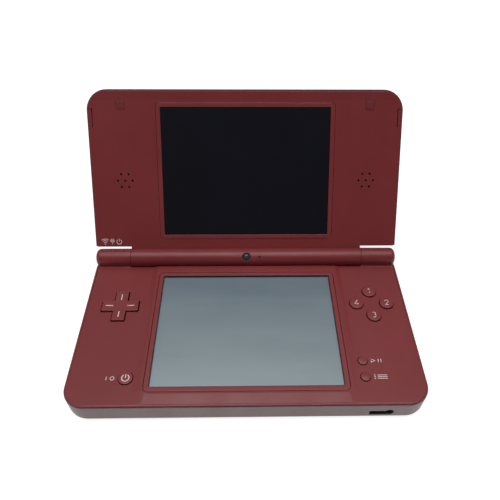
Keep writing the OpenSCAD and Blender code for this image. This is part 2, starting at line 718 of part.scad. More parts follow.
module main_board() {
    color("#1f5a3a") difference() {
        union() {
            plate([-board_half, board_half], [board_front, board_rear], 2, [board_z, board_top]);
            both_sides() box([board_half - 8, board_rear - 3, board_z], [board_half, rear - 7.7, board_top]);
        }
        for (p = boss_places) post(p, boss_r + board_seat, [board_z - CUT, board_top + CUT]);
        box([jack_x - 3.8, board_front - CUT, board_z - CUT], [jack_x + 4.2, jack_back + 0.4, board_top + CUT]);
        box([jack_slot_x - 1.7, board_front - CUT, board_z - CUT], [jack_x, front + 8.5, board_top + CUT]);
    }
}

module board_chips() {
    mid = [(shield_x[0] + shield_x[1]) / 2, (shield_y[0] + shield_y[1]) / 2];
    color(dark) {
        chip(mid + [0.5, -3], [12, 12, 1.4]);
        chip([shield_x[1] - 11, shield_y[1] - 6], [10, 8, 1.1]);
        chip([shield_x[0] + 10, mid[1]], [10, 10, 1.2]);
    }
}

// Chip of size [x, y, height] under the board, its middle at a place [x, y]
module chip(p, size) {
    box([p[0] - size[0] / 2, p[1] - size[1] / 2, board_z - size[2]],
        [p[0] + size[0] / 2, p[1] + size[1] / 2, board_z - seat_gap]);
}

module rf_shield() {
    color(metal) difference() {
        box([shield_x[0], shield_y[0], board_z - shield_h], [shield_x[1], shield_y[1], board_z - seat_gap]);
        box([shield_x[0] + shield_t, shield_y[0] + shield_t, board_z - shield_h + shield_t],
            [shield_x[1] - shield_t, shield_y[1] - shield_t, board_z + CUT]);
    }
}

module wireless_module() {
    color("#1f5a3a") box([radio_x, radio_y[0], board_z - 1], [radio_x + 24, radio_y[1], board_z - seat_gap]);
    color(metal) box([radio_x + 2, radio_y[0] + 1, board_z - 2.4], [radio_x + 18, radio_y[1] - 1, board_z - 1]);
}

module battery_pack() {
    w = battery_w / 2 - 0.1;
    d = battery_d / 2 - 0.1;
    color("#2c3440") plate([battery_x - w, battery_x + w], [battery_y - d, battery_y + d], 1.2,
        [battery_z, battery_z + battery_t]);
}

module battery_contacts() {
    x = battery_end + 0.3;
    top = board_z - seat_gap - contact_block[2];
    color("#c8a24a") for (y = [-1, 0, 1] * contact_pitch) {
        box([x, battery_y + y - contact_w / 2, battery_z + 1], [x + 0.5, battery_y + y + contact_w / 2, top]);
        box([x, battery_y + y - contact_w / 2, battery_z + 2.4], [x + 2.6, battery_y + y + contact_w / 2, top]);
    }
    color(dark) box([x, battery_y - contact_block[1] / 2, top],
        [x + contact_block[0], battery_y + contact_block[1] / 2, board_z - seat_gap]);
}

module game_card_socket() {
    x = [card_x - card_w / 2, card_x + card_w / 2];
    color(metal) difference() {
        box([x[0] - socket_wall, card_in_y - 2, card_z - 0.15],
            [x[1] + socket_wall, rear - tub_wall - 0.1, socket_top]);
        box([x[0], card_in_y, card_z - CUT], [x[1], rear, card_z + card_h]);
    }
}

module memory_card_socket() {
    y = [memory_y - memory_w / 2, memory_y + memory_w / 2];
    color(metal) difference() {
        box([memory_in_x - 2, y[0] - 1, memory_z - memory_half_h - 0.45],
            [half_w - tub_wall - 0.2, y[1] + 1, memory_z + memory_half_h + 0.45]);
        box([memory_in_x, y[0], memory_z - memory_half_h], [half_w, y[1], memory_z + memory_half_h]);
    }
}

module headphone_jack() {
    y0 = front + tub_wall + 0.1;
    color(dark) difference() {
        union() {
            box([jack_x - 3.3, y0, jack_z - 2.7], [jack_x + 3.7, jack_back, jack_z + 2.6]);
            box([jack_slot_x - 1.2, y0, jack_z - 2.6], [jack_x - 3, front + 8, jack_z + 1.9]);
            rod_y([jack_x, jack_z], jack_r + 0.2, [front + 0.6, y0 + 0.3]);
        }
        rod_y([jack_x, jack_z], jack_r, [front, front + 0.6 + jack_len]);
        box([jack_slot_x, front, jack_slot_z - jack_slot_h],
            [jack_x - 3.8, front + 7, jack_slot_z + jack_slot_h]);
    }
}

module charging_socket() {
    color(dark) difference() {
        box([charge_x - charge_size[0], rear - charge_depth - 7, charge_z - charge_size[1]],
            [charge_x + charge_size[0], rear - tub_wall - 0.1, socket_top]);
        box([charge_x - charge_mouth[0], rear - charge_depth, charge_z - charge_mouth[1]],
            [charge_x + charge_mouth[0], rear, charge_z + charge_mouth[1]]);
    }
    color(metal) box([charge_x - charge_mouth[0] + 1, rear - charge_depth - SINK, charge_z - 0.4],
        [charge_x + charge_mouth[0] - 1, rear - 2.5, charge_z + 0.4]);
}

// Tact switches: volume, power and one behind each shoulder button
module board_switches() {
    p = power_place();
    color(dark) {
        box([-board_half - switch_size[0], rocker_y - switch_size[1], board_z - switch_size[2]],
            [-board_half + 2, rocker_y + switch_size[1], board_z - seat_gap]);
        box([p[0] - 2, p[1] - 2, board_top + seat_gap], [p[0] + 2, p[1] + 2, board_top + 1.1]);
        post(p, 1, [board_top + 1, board_top + 1.5]);
        both_sides() {
            box([shoulder_switch_x - 2.5, rear - 11.7, board_z - 2.6],
                [shoulder_switch_x + 2.5, rear - 8, board_z - seat_gap]);
            rod_y([shoulder_switch_x, board_z - 1.4], 0.9, [rear - 8.1, rear - 1.5 - shoulder_wall]);
        }
    }
}

module face_button_mat() {
    p = [control_x, front + face_y];
    reach = face_pitch + face_r + 1.4;
    color("#8d8f93") {
        plate([p[0] - reach, p[0] + reach - 0.9], [p[1] - reach, p[1] + reach], 3, [mat_z, mat_z + mat_t]);
        for (q = face_places()) post(q, face_r - 0.4, [mat_z + mat_t - SINK, dome_top]);
    }
}

module menu_button_mat() {
    p = menu_places();
    reach = menu_r + 1;
    color("#8d8f93") {
        plate([menu_x - reach, menu_x + reach], [p[1][1] - reach, p[0][1] + reach], 1.5,
            [mat_z, mat_z + mat_t]);
        for (q = p) post(q, menu_r - 0.4, [mat_z + mat_t - SINK, dome_top]);
    }
}

module dpad_mat() {
    p = dpad_place();
    color("#8d8f93") {
        post(p, dpad_span / 2 - 1.05, [mat_z + mat_t, mat_z + 2 * mat_t]);
        for (a = [0:90:270]) translate([p[0], p[1], 0]) rotate([0, 0, a])
            post([dpad_span / 2 - 3.25, 0], 1.8, [mat_z + 2 * mat_t - SINK, dome_top - 0.05]);
        post(p, 1.4, [mat_z + 2 * mat_t - SINK, button_base - 0.15]);
    }
}

// ---- deck buttons ----

module dpad() {
    p = dpad_place();
    top = deck_z + dpad_proud;
    color(casing) difference() {
        union() {
            translate([p[0], p[1], 0]) for (a = [0, 90]) rotate([0, 0, a])
                slab([-dpad_span / 2, dpad_span / 2], [-dpad_arm_w / 2, dpad_arm_w / 2], [0.7, 0.7],
                    concat([[0, button_base]], high_round(0.35, top)));
            post(p, dpad_span / 2 + 0.6, [button_base, button_base + 0.5]);
        }
        translate([p[0], p[1], top + 11.7]) sphere(r = 12, $fn = 96);
    }
}

module round_button(p, r, proud, flange) {
    cap(p, r, [button_base, deck_z + proud], 0.35);
    post(p, flange, [button_base, deck_under - 0.25]);
}

module face_button_top() { color(casing) round_button(face_places()[0], face_r, face_proud, face_r + 0.8); }
module face_button_right() { color(casing) round_button(face_places()[1], face_r, face_proud, face_r + 0.8); }
module face_button_bottom() { color(casing) round_button(face_places()[2], face_r, face_proud, face_r + 0.8); }
module face_button_left() { color(casing) round_button(face_places()[3], face_r, face_proud, face_r + 0.8); }
module start_button() { color(casing) round_button(menu_places()[0], menu_r, menu_proud, menu_r + 0.7); }
module select_button() { color(casing) round_button(menu_places()[1], menu_r, menu_proud, menu_r + 0.7); }
module power_button() { color(casing) round_button(power_place(), power_r, menu_proud, power_r + 0.8); }

// ---- side and rear controls ----

module volume_rocker() {
    half = rocker_len / 2;
    color(casing_dark) {
        post(rocker_pivot, rocker_pin_r, [rocker_z - rocker_ear_z + 0.5, rocker_z + rocker_ear_z - 0.5]);
        box([-half_w - 0.3, rocker_y - half, rocker_z - rocker_h / 2],
            [rocker_pivot[0] + 0.2, rocker_y + half, rocker_z + rocker_h / 2]);
        box([rocker_pivot[0], rocker_y - half - 1, rocker_z - rocker_h / 2 - 0.7],
            [rocker_pivot[0] + 0.8, rocker_y + half + 1, rocker_z + rocker_h / 2 + 0.7]);
    }
}

module shoulder_button() {
    z = [shoulder_z, shoulder_z + shoulder_h];
    difference() {
        union() {
            intersection() {
                tub_outline();
                difference() {
                    box([shoulder_x, shoulder_wrap_y, z[0]], [half_w + 1, rear + 1, z[1]]);
                    slab([shoulder_x - 1, half_w - shoulder_wall], [shoulder_wrap_y - 3, rear - shoulder_wall],
                        [0.5, corner_r - shoulder_wall], [[0, z[0] - CUT], [0, z[1] + CUT]]);
                }
            }
            post([shoulder_pin_x, shoulder_pin_y], shoulder_hub_r, [z[0], z[1] - 2]);
        }
        post([shoulder_pin_x, shoulder_pin_y], shoulder_pin_r + seat_gap, [z[0] - CUT, z[1] + CUT]);
        post([shoulder_pin_x, shoulder_pin_y], shoulder_hub_r - SINK, [z[1] - 2, z[1] + CUT]);
    }
}

module shoulder_button_left() { color(casing_dark) mirror([1, 0, 0]) shoulder_button(); }
module shoulder_button_right() { color(casing_dark) shoulder_button(); }

module shoulder_pins() {
    color(metal) both_sides() post([shoulder_pin_x, shoulder_pin_y], shoulder_pin_r,
        [floor_z - 0.5, shoulder_z + shoulder_h + 0.1]);
}

module shoulder_springs() {
    z = [shoulder_z + shoulder_h - 1.8, shoulder_z + shoulder_h - 0.2];
    color(metal) both_sides() {
        difference() {
            post([shoulder_pin_x, shoulder_pin_y], shoulder_pin_r + 0.85, z);
            post([shoulder_pin_x, shoulder_pin_y], shoulder_pin_r + 0.25, [z[0] - CUT, z[1] + CUT]);
        }
        box([shoulder_pin_x - 0.25, shoulder_pin_y - 7, z[0]],
            [shoulder_pin_x + 0.25, shoulder_pin_y - 1.3, z[0] + 0.5]);
    }
}

module memory_card_flap() {
    color(tub_grey) intersection() {
        tub_outline();
        union() {
            box([half_w - flap_t, flap_y[0], flap_z[0]], [half_w + 1, flap_y[1], flap_z[1]]);
            box([half_w - tub_wall, memory_y - memory_w / 2 + 1, memory_z - 0.4],
                [half_w - flap_t + 0.1, memory_y + memory_w / 2 - 1, memory_z + 0.6]);
        }
    }
}

module stylus() {
    color(casing_dark) translate([half_w - 0.2 - stylus_len, stylus_y, stylus_z]) rotate([0, 90, 0])
        rotate_extrude() polygon([
            [0, 0], [0.5, 0.2], [0.9, 2.5], [stylus_r - 0.5, 3.2], [stylus_r, 9],
            [stylus_r, stylus_len - 9], [stylus_r - 0.35, stylus_len - 8.4], [stylus_r - 0.35, stylus_len - 5],
            [stylus_r, stylus_len - 4.4], [stylus_r, stylus_len - 0.3], [stylus_r - 0.3, stylus_len], [0, stylus_len]
        ]);
}

// ---- hinge ----

module hinge_cartridge() {
    r = barrel_r - barrel_wall - 0.1;
    color(metal) difference() {
        rod_x([hinge_y, hinge_z], r, [-half_w + 2.5, -knuckle_x - 0.3]);
        rod_x([hinge_y, hinge_z], 1.6, [-half_w + 4, -knuckle_x]);
    }
}

module hinge_shaft() {
    color(metal) {
        rod_x([hinge_y, hinge_z], 1.5, [-half_w + 5, -barrel_half + 0.3]);
        rod_x([hinge_y, hinge_z], bore_r - seat_gap, [-barrel_half + 0.2, -barrel_half + 9]);
    }
}

module hinge_sleeve() {
    color(metal) difference() {
        union() {
            rod_x([hinge_y, hinge_z], barrel_r - barrel_wall - 0.1, [knuckle_x + 0.3, half_w - 15.6]);
            rod_x([hinge_y, hinge_z], bore_r - 0.08, [barrel_half - 7, knuckle_x + 0.4]);
        }
        rod_x([hinge_y, hinge_z], 2.4, [barrel_half - 7.5, half_w - 15]);
    }
}

module status_light_guides() {
    color("#b9a3a3") mirror([1, 0, 0]) intersection() {
        light_slots(0);
        rod_x([hinge_y, hinge_z], barrel_r, [knuckle_x, half_w]);
    }
}

// Flat cable from the main board up through the right knuckle and along the hinge axis
module display_flex_cable() {
    color("#b5763a") {
        rod_x([hinge_y, hinge_z], 1.3, [half_w - 44.5, half_w - 8.6]);
        box([flex_x[0], hinge_y - flex_t / 2, hinge_z - trough_shell + 0.1],
            [flex_x[1], hinge_y + flex_t / 2, hinge_z]);
        box([flex_x[0], rear - 15, hinge_z - trough_shell + 0.1],
            [flex_x[1], hinge_y, hinge_z - trough_shell + 0.1 + flex_t]);
    }
}

// ---- lid ----

module lid_panel() {
    r_top = corner_r - rim_inset;
    color(casing) in_lid() {
        difference() {
            union() {
                difference() {
                    slab([-panel_side, panel_side], [lid_start, panel_top], [0.8, r_top],
                        concat([[0, panel_n]], high_round(0.4, lid_face_n + band_rise)));
                    above_face();
                }
                panel_lip();
                barrel_neck();
                for (x = [-pad_x, pad_x]) post([x, pad_s], boss_r + 0.3, [panel_n - 1.6, panel_n + SINK]);
            }
            plate([-up_w / 2 - seat_gap, up_w / 2 + seat_gap],
                [upper_win_s - up_h / 2 - seat_gap, upper_win_s + up_h / 2 + seat_gap], surround_r + 0.1,
                [panel_n - 3, lid_face_n + CUT]);
            for (x = [-pad_x, pad_x]) {
                plate([x - pad_w / 2 - 0.1, x + pad_w / 2 + 0.1], [pad_s - pad_w / 2 - 0.1, pad_s + pad_w / 2 + 0.1],
                    0.6, [lid_face_n - 0.8, lid_face_n + CUT]);
                post([x, pad_s], 1.6, [lid_face_n - 1.9, lid_face_n]);
                post([x, pad_s], screw_r + 0.1, [panel_n - 3, lid_face_n]);
            }
            both_sides() speaker_holes();
            both_sides() {
                box([panel_side - notch_in, notch_s[0], lid_face_n - 0.35],
                    [panel_side + 1, notch_s[1], lid_face_n + CUT]);
                box([panel_side - notch_in, notch_s[0], lid_face_n - 1.1],
                    [panel_side - notch_in + 0.7, notch_s[1], lid_face_n + CUT]);
            }
            rod_x([0, 0], bore_r, [-barrel_half - CUT, barrel_half + CUT]);
            inner_camera_axis() cylinder(r = 2.45, h = barrel_r + 1);
            inner_camera_axis() post([7.05, 0], 0.55, [0, barrel_r + 1]);
        }
    }
}

// Room above the panel's face, which rises along its free edge
module above_face() {
    foot = panel_top - band_w;
    translate([-half_w, 0, 0]) rotate([90, 0, 90]) linear_extrude(body_w)
        polygon([[0, lid_face_n], [foot, lid_face_n],
            [lid_len + 1, lid_face_n + band_rise * (lid_len + 1 - foot) / band_w],
            [lid_len + 1, lid_face_n + 2], [0, lid_face_n + 2]]);
}

module panel_lip() {
    z = [panel_n - 0.9, panel_n + SINK];
    x = half_w - cover_wall - 0.15;
    y = lid_len - cover_wall - 0.15;
    both_sides() box([x - lip_t, 20, z[0]], [x, lid_len - 26, z[1]]);
    box([-half_w / 2, y - lip_t, z[0]], [half_w / 2, y, z[1]]);
}

// Barrel round the hinge axis and the neck that joins it to the panel
module barrel_neck() {
    rod_x([0, 0], barrel_r, [-barrel_half, barrel_half]);
    translate([-barrel_half, 0, 0]) rotate([90, 0, 90]) linear_extrude(2 * barrel_half)
        polygon([[0, -barrel_r], [lid_start - 0.1, cover_n + cover_edge_r], [lid_start - 0.1, panel_n],
            [lid_start + 2, panel_n], [lid_start + 2, lid_face_n], [0, lid_face_n]]);
}

module speaker_holes() {
    pitch = 3.8;
    for (a = [0:60:300]) translate([speaker_x, speaker_s, 0]) rotate([0, 0, a])
        post([pitch, 0], speaker_hole_r, [panel_n - CUT, lid_face_n + CUT]);
    post([speaker_x, speaker_s], speaker_hole_r, [panel_n - CUT, lid_face_n + CUT]);
}

module inner_camera_axis() { rotate([eye_turn, 0, 0]) children(); }

// Outer cover with every edge rounded, but its lower corners square seen from the front
module cover_outline() {
    intersection() {
        slab([-half_w, half_w], [lid_start - 5, lid_len], [4.5, corner_r],
            concat(low_round(cover_edge_r, cover_n), [[0, cover_top_n]]));
        translate([-half_w - 1, 0, 0]) rotate([90, 0, 90]) linear_extrude(body_w + 2)
            polygon(concat([[lid_len + 1, cover_n - CUT], [lid_start + cover_edge_r, cover_n - CUT]],
                [for (p = low_round(cover_edge_r, cover_n)) [lid_start + p[0], p[1]]],
                [[lid_start, cover_top_n + CUT], [lid_len + 1, cover_top_n + CUT]]));
    }
}

module lid_cover() {
    w = cover_wall;
    color(casing_dark) in_lid() difference() {
        union() {
            difference() {
                cover_outline();
                slab([-half_w + w, half_w - w], [lid_start + w, lid_len - w], [2, corner_r - w],
                    [[1.6, cover_in_n], [0, cover_in_n + 1.6], [0, cover_top_n + CUT]]);
            }
            for (x = [-pad_x, pad_x]) post([x, pad_s], boss_r + 0.3, [cover_in_n - SINK, panel_n - 1.7]);
            both_sides() box([up_w / 4 - 10, upper_win_s - 25, cover_in_n - SINK],
                [up_w / 4 + 10, upper_win_s + 25, upper_lcd_n - seat_gap]);
        }
        for (x = [-pad_x, pad_x]) post([x, pad_s], screw_r + seat_gap, [cover_in_n + 0.2, lid_face_n]);
        post(outer_camera_p, outer_camera_r + 0.1, [cover_n - CUT, cover_in_n + CUT]);
    }
}

module upper_screen_surround() {
    color(casing) in_lid() difference() {
        slab([-up_w / 2, up_w / 2], [upper_win_s - up_h / 2, upper_win_s + up_h / 2], [surround_r, surround_r],
            [[0, lid_face_n - surround_t], [0, lid_face_n - 0.25], [0.25, lid_face_n]]);
        plate([-upper_win_w / 2, upper_win_w / 2], [upper_win_s - upper_win_h / 2, upper_win_s + upper_win_h / 2],
            0.6, [lid_face_n - 2, lid_face_n + CUT]);
    }
}

module upper_screen_window() {
    g = seat_gap;
    color("#14151a") in_lid() {
        plate(stack_x, stack_s, stack_r, [upper_glass_n - 0.8, upper_glass_n]);
        plate([-upper_win_w / 2 + g, upper_win_w / 2 - g],
            [upper_win_s - upper_win_h / 2 + g, upper_win_s + upper_win_h / 2 - g], 0.5,
            [upper_glass_n - 0.2, lid_face_n - 0.2]);
    }
}

module upper_screen_gasket() {
    n = upper_glass_n - 0.85;
    color(dark) in_lid() frame(stack_x, stack_s, stack_r, 2, [n - 0.8, n]);
}

module upper_lcd() {
    color(metal) in_lid() plate(stack_x, stack_s, stack_r, [upper_lcd_n, upper_glass_n - 1.7]);
}

module speaker(x) {
    half = speaker_size;
    in_lid() {
        plate([x - half[0], x + half[0]], [speaker_s - half[1], speaker_s + half[1]],
            2, [cover_in_n + 0.2, panel_n - 0.6]);
        plate([x - half[0] + 2, x + half[0] - 2], [speaker_s - half[1] + 1.5, speaker_s + half[1] - 1.5],
            2, [panel_n - 0.8, panel_n - 0.1]);
    }
}

module speaker_left() { color(dark) speaker(-speaker_x); }
module speaker_right() { color(dark) speaker(speaker_x); }

module inner_camera() {
    color(dark) in_lid() {
        rod_x([0, 0], bore_r - 0.1, [-4.5, 4.5]);
        inner_camera_axis() cylinder(r = 1.4, h = barrel_r - 0.6);
    }
}

module inner_camera_ring() {
    color("#3b2a2b") in_lid() intersection() {
        inner_camera_axis() difference() {
            translate([0, 0, bore_r + 0.3]) cylinder(r = 2.4, h = barrel_r - bore_r - 0.5);
            translate([0, 0, bore_r]) cylinder(r = 1.45, h = barrel_r);
        }
        rod_x([0, 0], barrel_r, [-3, 3]);
    }
}

module microphone() {
    color(metal) in_lid() rod_x([0, 0], bore_r - 0.1, [5.5, 9.5]);
}

module outer_camera() {
    color(dark) in_lid() {
        box([outer_camera_p[0] - 4, outer_camera_p[1] - 4, cover_in_n + 0.2],
            [outer_camera_p[0] + 4, outer_camera_p[1] + 4, panel_n - 0.8]);
        post(outer_camera_p, 1.6, [cover_n + 0.9, cover_in_n + 0.4]);
    }
}

module outer_camera_lens() {
    color("#202a36") in_lid() post(outer_camera_p, outer_camera_r, [cover_n + 0.1, cover_n + 0.85]);
}

module lid_pads() {
    color(casing_dark) in_lid() for (x = [-pad_x, pad_x])
        slab([x - pad_w / 2, x + pad_w / 2], [pad_s - pad_w / 2, pad_s + pad_w / 2], [0.5, 0.5],
            [[0, lid_face_n - 0.75], [0, lid_face_n + 0.3], [0.15, lid_face_n + 0.45]]);
}

module lid_screws() {
    color(metal) in_lid() for (x = [-pad_x, pad_x])
        translate([x, pad_s, lid_face_n - 0.85]) mirror([0, 0, 1]) screw([0, 0], 0, screw_head_r, 0.8, 4.6);
}

lower_housing();
control_deck();
lower_screen_surround();
touch_panel();
lower_screen_gasket();
lower_lcd();
main_board();
board_chips();
rf_shield();
wireless_module();
battery_pack();
battery_contacts();
battery_cover();
battery_cover_screws();
housing_screws();
rubber_feet();
game_card_socket();
memory_card_socket();
headphone_jack();
charging_socket();
board_switches();
face_button_mat();
menu_button_mat();
dpad_mat();
dpad();
face_button_top();
face_button_right();
face_button_bottom();
face_button_left();
start_button();
select_button();
power_button();
volume_rocker();
shoulder_button_left();
shoulder_button_right();
shoulder_pins();
shoulder_springs();
memory_card_flap();
stylus();
hinge_cartridge();
hinge_sleeve();
status_light_guides();
display_flex_cable();
lid_panel();
lid_cover();
upper_screen_surround();
upper_screen_window();
upper_screen_gasket();
upper_lcd();
speaker_left();
speaker_right();
inner_camera();
inner_camera_ring();
outer_camera();
outer_camera_lens();
microphone();
lid_pads();
lid_screws();
hinge_shaft();
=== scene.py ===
"""Looks of the clamshell handheld console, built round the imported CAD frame.

Sizes are in millimetres and turn into metres where a mesh is made. The lower half lies on the floor with its
hinge to the rear (+Y), and the lid stands open on it.
"""
from __future__ import annotations

import json
import logging
import math
from dataclasses import dataclass, field
from enum import Enum
from typing import Callable, Iterable, Sequence

import bmesh
import bpy
from mathutils import Matrix, Vector


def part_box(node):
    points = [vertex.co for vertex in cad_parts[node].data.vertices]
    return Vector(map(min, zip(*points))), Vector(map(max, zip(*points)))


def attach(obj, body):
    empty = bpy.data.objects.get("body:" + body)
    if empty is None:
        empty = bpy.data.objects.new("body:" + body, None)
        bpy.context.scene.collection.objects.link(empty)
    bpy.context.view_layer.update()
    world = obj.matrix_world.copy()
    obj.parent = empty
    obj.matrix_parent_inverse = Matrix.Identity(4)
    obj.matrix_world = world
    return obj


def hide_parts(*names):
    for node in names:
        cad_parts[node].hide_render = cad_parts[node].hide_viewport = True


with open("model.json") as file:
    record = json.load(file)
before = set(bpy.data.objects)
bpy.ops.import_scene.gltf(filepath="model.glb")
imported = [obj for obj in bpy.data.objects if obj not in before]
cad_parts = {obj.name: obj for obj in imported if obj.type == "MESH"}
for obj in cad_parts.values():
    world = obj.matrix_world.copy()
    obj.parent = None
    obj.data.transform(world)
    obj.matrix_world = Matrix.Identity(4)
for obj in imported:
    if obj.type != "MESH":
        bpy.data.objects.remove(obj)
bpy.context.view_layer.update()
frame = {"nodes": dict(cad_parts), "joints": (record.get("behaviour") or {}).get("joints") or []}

MM = 0.001
LOG = logging.getLogger("console")

MIX_INPUTS = (0, 6, 7)
"""Numbers of a Mix node's factor and of its two colours."""
MIX_COLOUR = 2
"""Number of a Mix node's colour output."""

Colour = tuple[float, float, float]
Flat = tuple[float, float]
Point = tuple[float, float, float]
Outline = Callable[[float], list[Flat]]
Height = Callable[[float, float], float]
Node = bpy.types.Node
Socket = bpy.types.NodeSocket
Inputs = dict[str | int, object]


class Slot(str, Enum):
    """Material slots of the record."""

    CASING = "casing"
    GLOSS = "casing_gloss"
    TUB = "tub"
    WINDOW = "window"
    TOUCH = "touch_film"
    RUBBER = "rubber"
    SILICONE = "silicone"
    BOARD = "board"
    BLACK = "black_plastic"
    SHEET = "bare_metal"
    SCREW = "screw_metal"
    CONTACT = "contact_metal"
    BATTERY = "battery_wrap"
    FLEX = "flex"
    CLEAR = "clear_plastic"
    LENS = "lens_glass"


class Side(Enum):
    """Side of the object, seen by the player."""

    LEFT = -1
    RIGHT = 1


# ---- wiring of shader nodes


@dataclass
class Wiring:
    """Adds nodes to one node tree and links them."""

    tree: bpy.types.NodeTree

    def feed(self, node: Node, inputs: Inputs) -> None:
        """Sets or links inputs of a node.

        Args:
            node: the node.
            inputs: name or number of each input, with a number, a colour, a vector or an output to link.
        """
        for name, value in inputs.items():
            socket = node.inputs[name]
            if isinstance(value, Socket):
                self.tree.links.new(value, socket)
            else:
                socket.default_value = (*value, 1.0) if socket.type == "RGBA" else value

    def node(self, kind: str, inputs: Inputs | None = None, **settings: object) -> Node:
        """Adds a node.

        Args:
            kind: Blender's name of the node type.
            inputs: what its inputs get.
            settings: values of its own fields, such as operation.

        Returns:
            The new node.
        """
        made = self.tree.nodes.new(kind)
        for name, value in settings.items():
            setattr(made, name, value)
        self.feed(made, inputs or {})
        return made

    def maths(self, operation: str, *values: object) -> Socket:
        """Gives a Math node's result for numbers or outputs, in the order of its inputs."""
        return self.node("ShaderNodeMath", dict(enumerate(values)), operation=operation).outputs[0]

    def spread(self, value: Socket, low: float, high: float, start: float = 0.0, stop: float = 1.0) -> Socket:
        """Maps a value that runs from start to stop to one from low to high, clamped."""
        return self.node("ShaderNodeMapRange", {"Value": value, "From Min": start, "From Max": stop,
                                                "To Min": low, "To Max": high}).outputs["Result"]

    def blend(self, mask: object, below: object, above: object) -> Socket:
        """Mixes two colours: below where the mask is 0, above where it is 1."""
        inputs = dict(zip(MIX_INPUTS, (mask, below, above)))
        return self.node("ShaderNodeMix", inputs, data_type="RGBA").outputs[MIX_COLOUR]

    def place(self, stretch: Point | None = None) -> Socket:
        """Gives the object's own coordinates, with factors along its axes where they are stretched."""
        own = self.node("ShaderNodeTexCoord").outputs["Object"]
        return self.node("ShaderNodeMapping", {"Vector": own, "Scale": stretch}).outputs[0] if stretch else own

    def scale(self, size: Socket) -> Socket:
        """Gives the texture scale whose features have a size in millimetres."""
        return self.maths("DIVIDE", 1.0 / MM, size)

    def noise(self, where: Socket, scale: object, detail: float = 2.0, roughness: float = 0.5) -> Socket:
        """Gives a noise texture of so many octaves, the small ones weighted by roughness."""
        return self.node("ShaderNodeTexNoise", {"Vector": where, "Scale": scale, "Detail": detail,
                                                "Roughness": roughness}).outputs[0]

    def cells(self, where: Socket, scale: object) -> Socket:
        """Gives the distance to the middle of the nearest cell."""
        return self.node("ShaderNodeTexVoronoi", {"Vector": where, "Scale": scale}).outputs["Distance"]

    def towards(self, way: Socket, aim: object) -> Socket:
        """Gives how much a vector points along another one."""
        return self.node("ShaderNodeVectorMath", {0: way, 1: aim}, operation="DOT_PRODUCT").outputs["Value"]

    def bump(self, height: Socket, depth: float, strength: float = 1.0) -> Socket:
        """Gives the normal of a relief whose depth is in millimetres."""
        return self.node("ShaderNodeBump", {"Height": height, "Strength": strength,
                                            "Distance": depth * MM}).outputs["Normal"]


@dataclass(frozen=True)
class Effect:
    """A node group that several materials share, with one input and its outputs."""

    name: str
    given: str
    outputs: tuple[str, ...]
    draw: Callable[[Wiring, Socket], tuple[Socket, ...]]

    def group(self) -> bpy.types.NodeTree:
        """Builds the group once.

        Returns:
            The node group.
        """
        if self.name in bpy.data.node_groups:
            return bpy.data.node_groups[self.name]
        tree = bpy.data.node_groups.new(self.name, "ShaderNodeTree")
        tree.interface.new_socket(self.given, in_out="INPUT", socket_type="NodeSocketFloat")
        for name in self.outputs:
            tree.interface.new_socket(name, in_out="OUTPUT", socket_type="NodeSocketFloat")
        wires = Wiring(tree)
        drawn = self.draw(wires, wires.node("NodeGroupInput").outputs[self.given])
        wires.node("NodeGroupOutput", dict(zip(self.outputs, drawn)))
        return tree

    def use(self, wires: Wiring, value: float) -> tuple[Socket, ...]:
        """Places the group in a material with its own value, and gives its outputs."""
        return tuple(wires.node("ShaderNodeGroup", {self.given: value}, node_tree=self.group()).outputs)


def draw_grain(wires: Wiring, size: Socket) -> tuple[Socket, ...]:
    """Draws the fine spark-eroded grain of moulded plastic.

    Args:
        wires: the group's wiring.
        size: width of a grain.

    Returns:
        The height.
    """
    where, scale = wires.place(), wires.scale(size)
    swell = wires.noise(where, wires.maths("MULTIPLY", scale, 0.45), 3.0, 0.6)
    return (wires.maths("MULTIPLY_ADD", wires.cells(where, scale), 0.55, wires.maths("MULTIPLY", swell, 0.6)),)


def draw_handling(wires: Wiring, size: Socket) -> tuple[Socket, ...]:
    """Draws slow changes of tone in the plastic, and the smears that hands leave.

    Args:
        wires: the group's wiring.
        size: width of a patch.

    Returns:
        The tone and the smears.
    """
    where, scale = wires.place(), wires.scale(size)
    cloud = wires.noise(where, scale, 3.0, 0.55)
    fine = wires.noise(where, wires.maths("MULTIPLY", scale, 9.0), 2.0, 0.6)
    wipe = wires.noise(wires.place((1.0, 0.35, 0.6)), wires.maths("MULTIPLY", scale, 2.5), 4.0, 0.65)
    return (wires.spread(wires.maths("MULTIPLY_ADD", fine, 0.35, cloud), 0.0, 1.0, 0.45, 0.9),
            wires.spread(wipe, 0.0, 1.0, 0.38, 0.68))


def draw_edge_wear_and_highlight(wires: Wiring, width: Socket) -> tuple[Socket, ...]:
    """Masks the rounded edges, paled as wear and as a painted highlight.

    Args:
        wires: the group's wiring.
        width: width of the paled edge.

    Returns:
        The mask.
    """
    soft = wires.node("ShaderNodeBevel", {"Radius": wires.maths("MULTIPLY", width, MM)}, samples=4)
    flat = wires.node("ShaderNodeNewGeometry").outputs["Normal"]
    worn = wires.spread(wires.towards(soft.outputs["Normal"], flat), 1.0, 0.0, 0.82, 0.995)
    broken = wires.spread(wires.noise(wires.place(), 900.0, 3.0, 0.6), 0.35, 1.0, 0.3, 0.6)
    return (wires.maths("MULTIPLY", worn, broken),)


def draw_dust(wires: Wiring, spacing: Socket) -> tuple[Socket, ...]:
    """Draws specks of dust and long wipe marks on a screen.

    Args:
        wires: the group's wiring.
        spacing: distance between specks.

    Returns:
        The specks and the wipe marks.
    """
    where = wires.place()
    speck = wires.spread(wires.cells(where, wires.scale(spacing)), 1.0, 0.0, 0.02, 0.05)
    patchy = wires.spread(wires.noise(where, 60.0), 0.0, 1.0, 0.5, 0.62)
    wipe = wires.noise(wires.place((3.0, 0.5, 1.0)), 45.0, 5.0, 0.7)
    return wires.maths("MULTIPLY", speck, patchy), wires.spread(wipe, 0.0, 1.0, 0.4, 0.7)


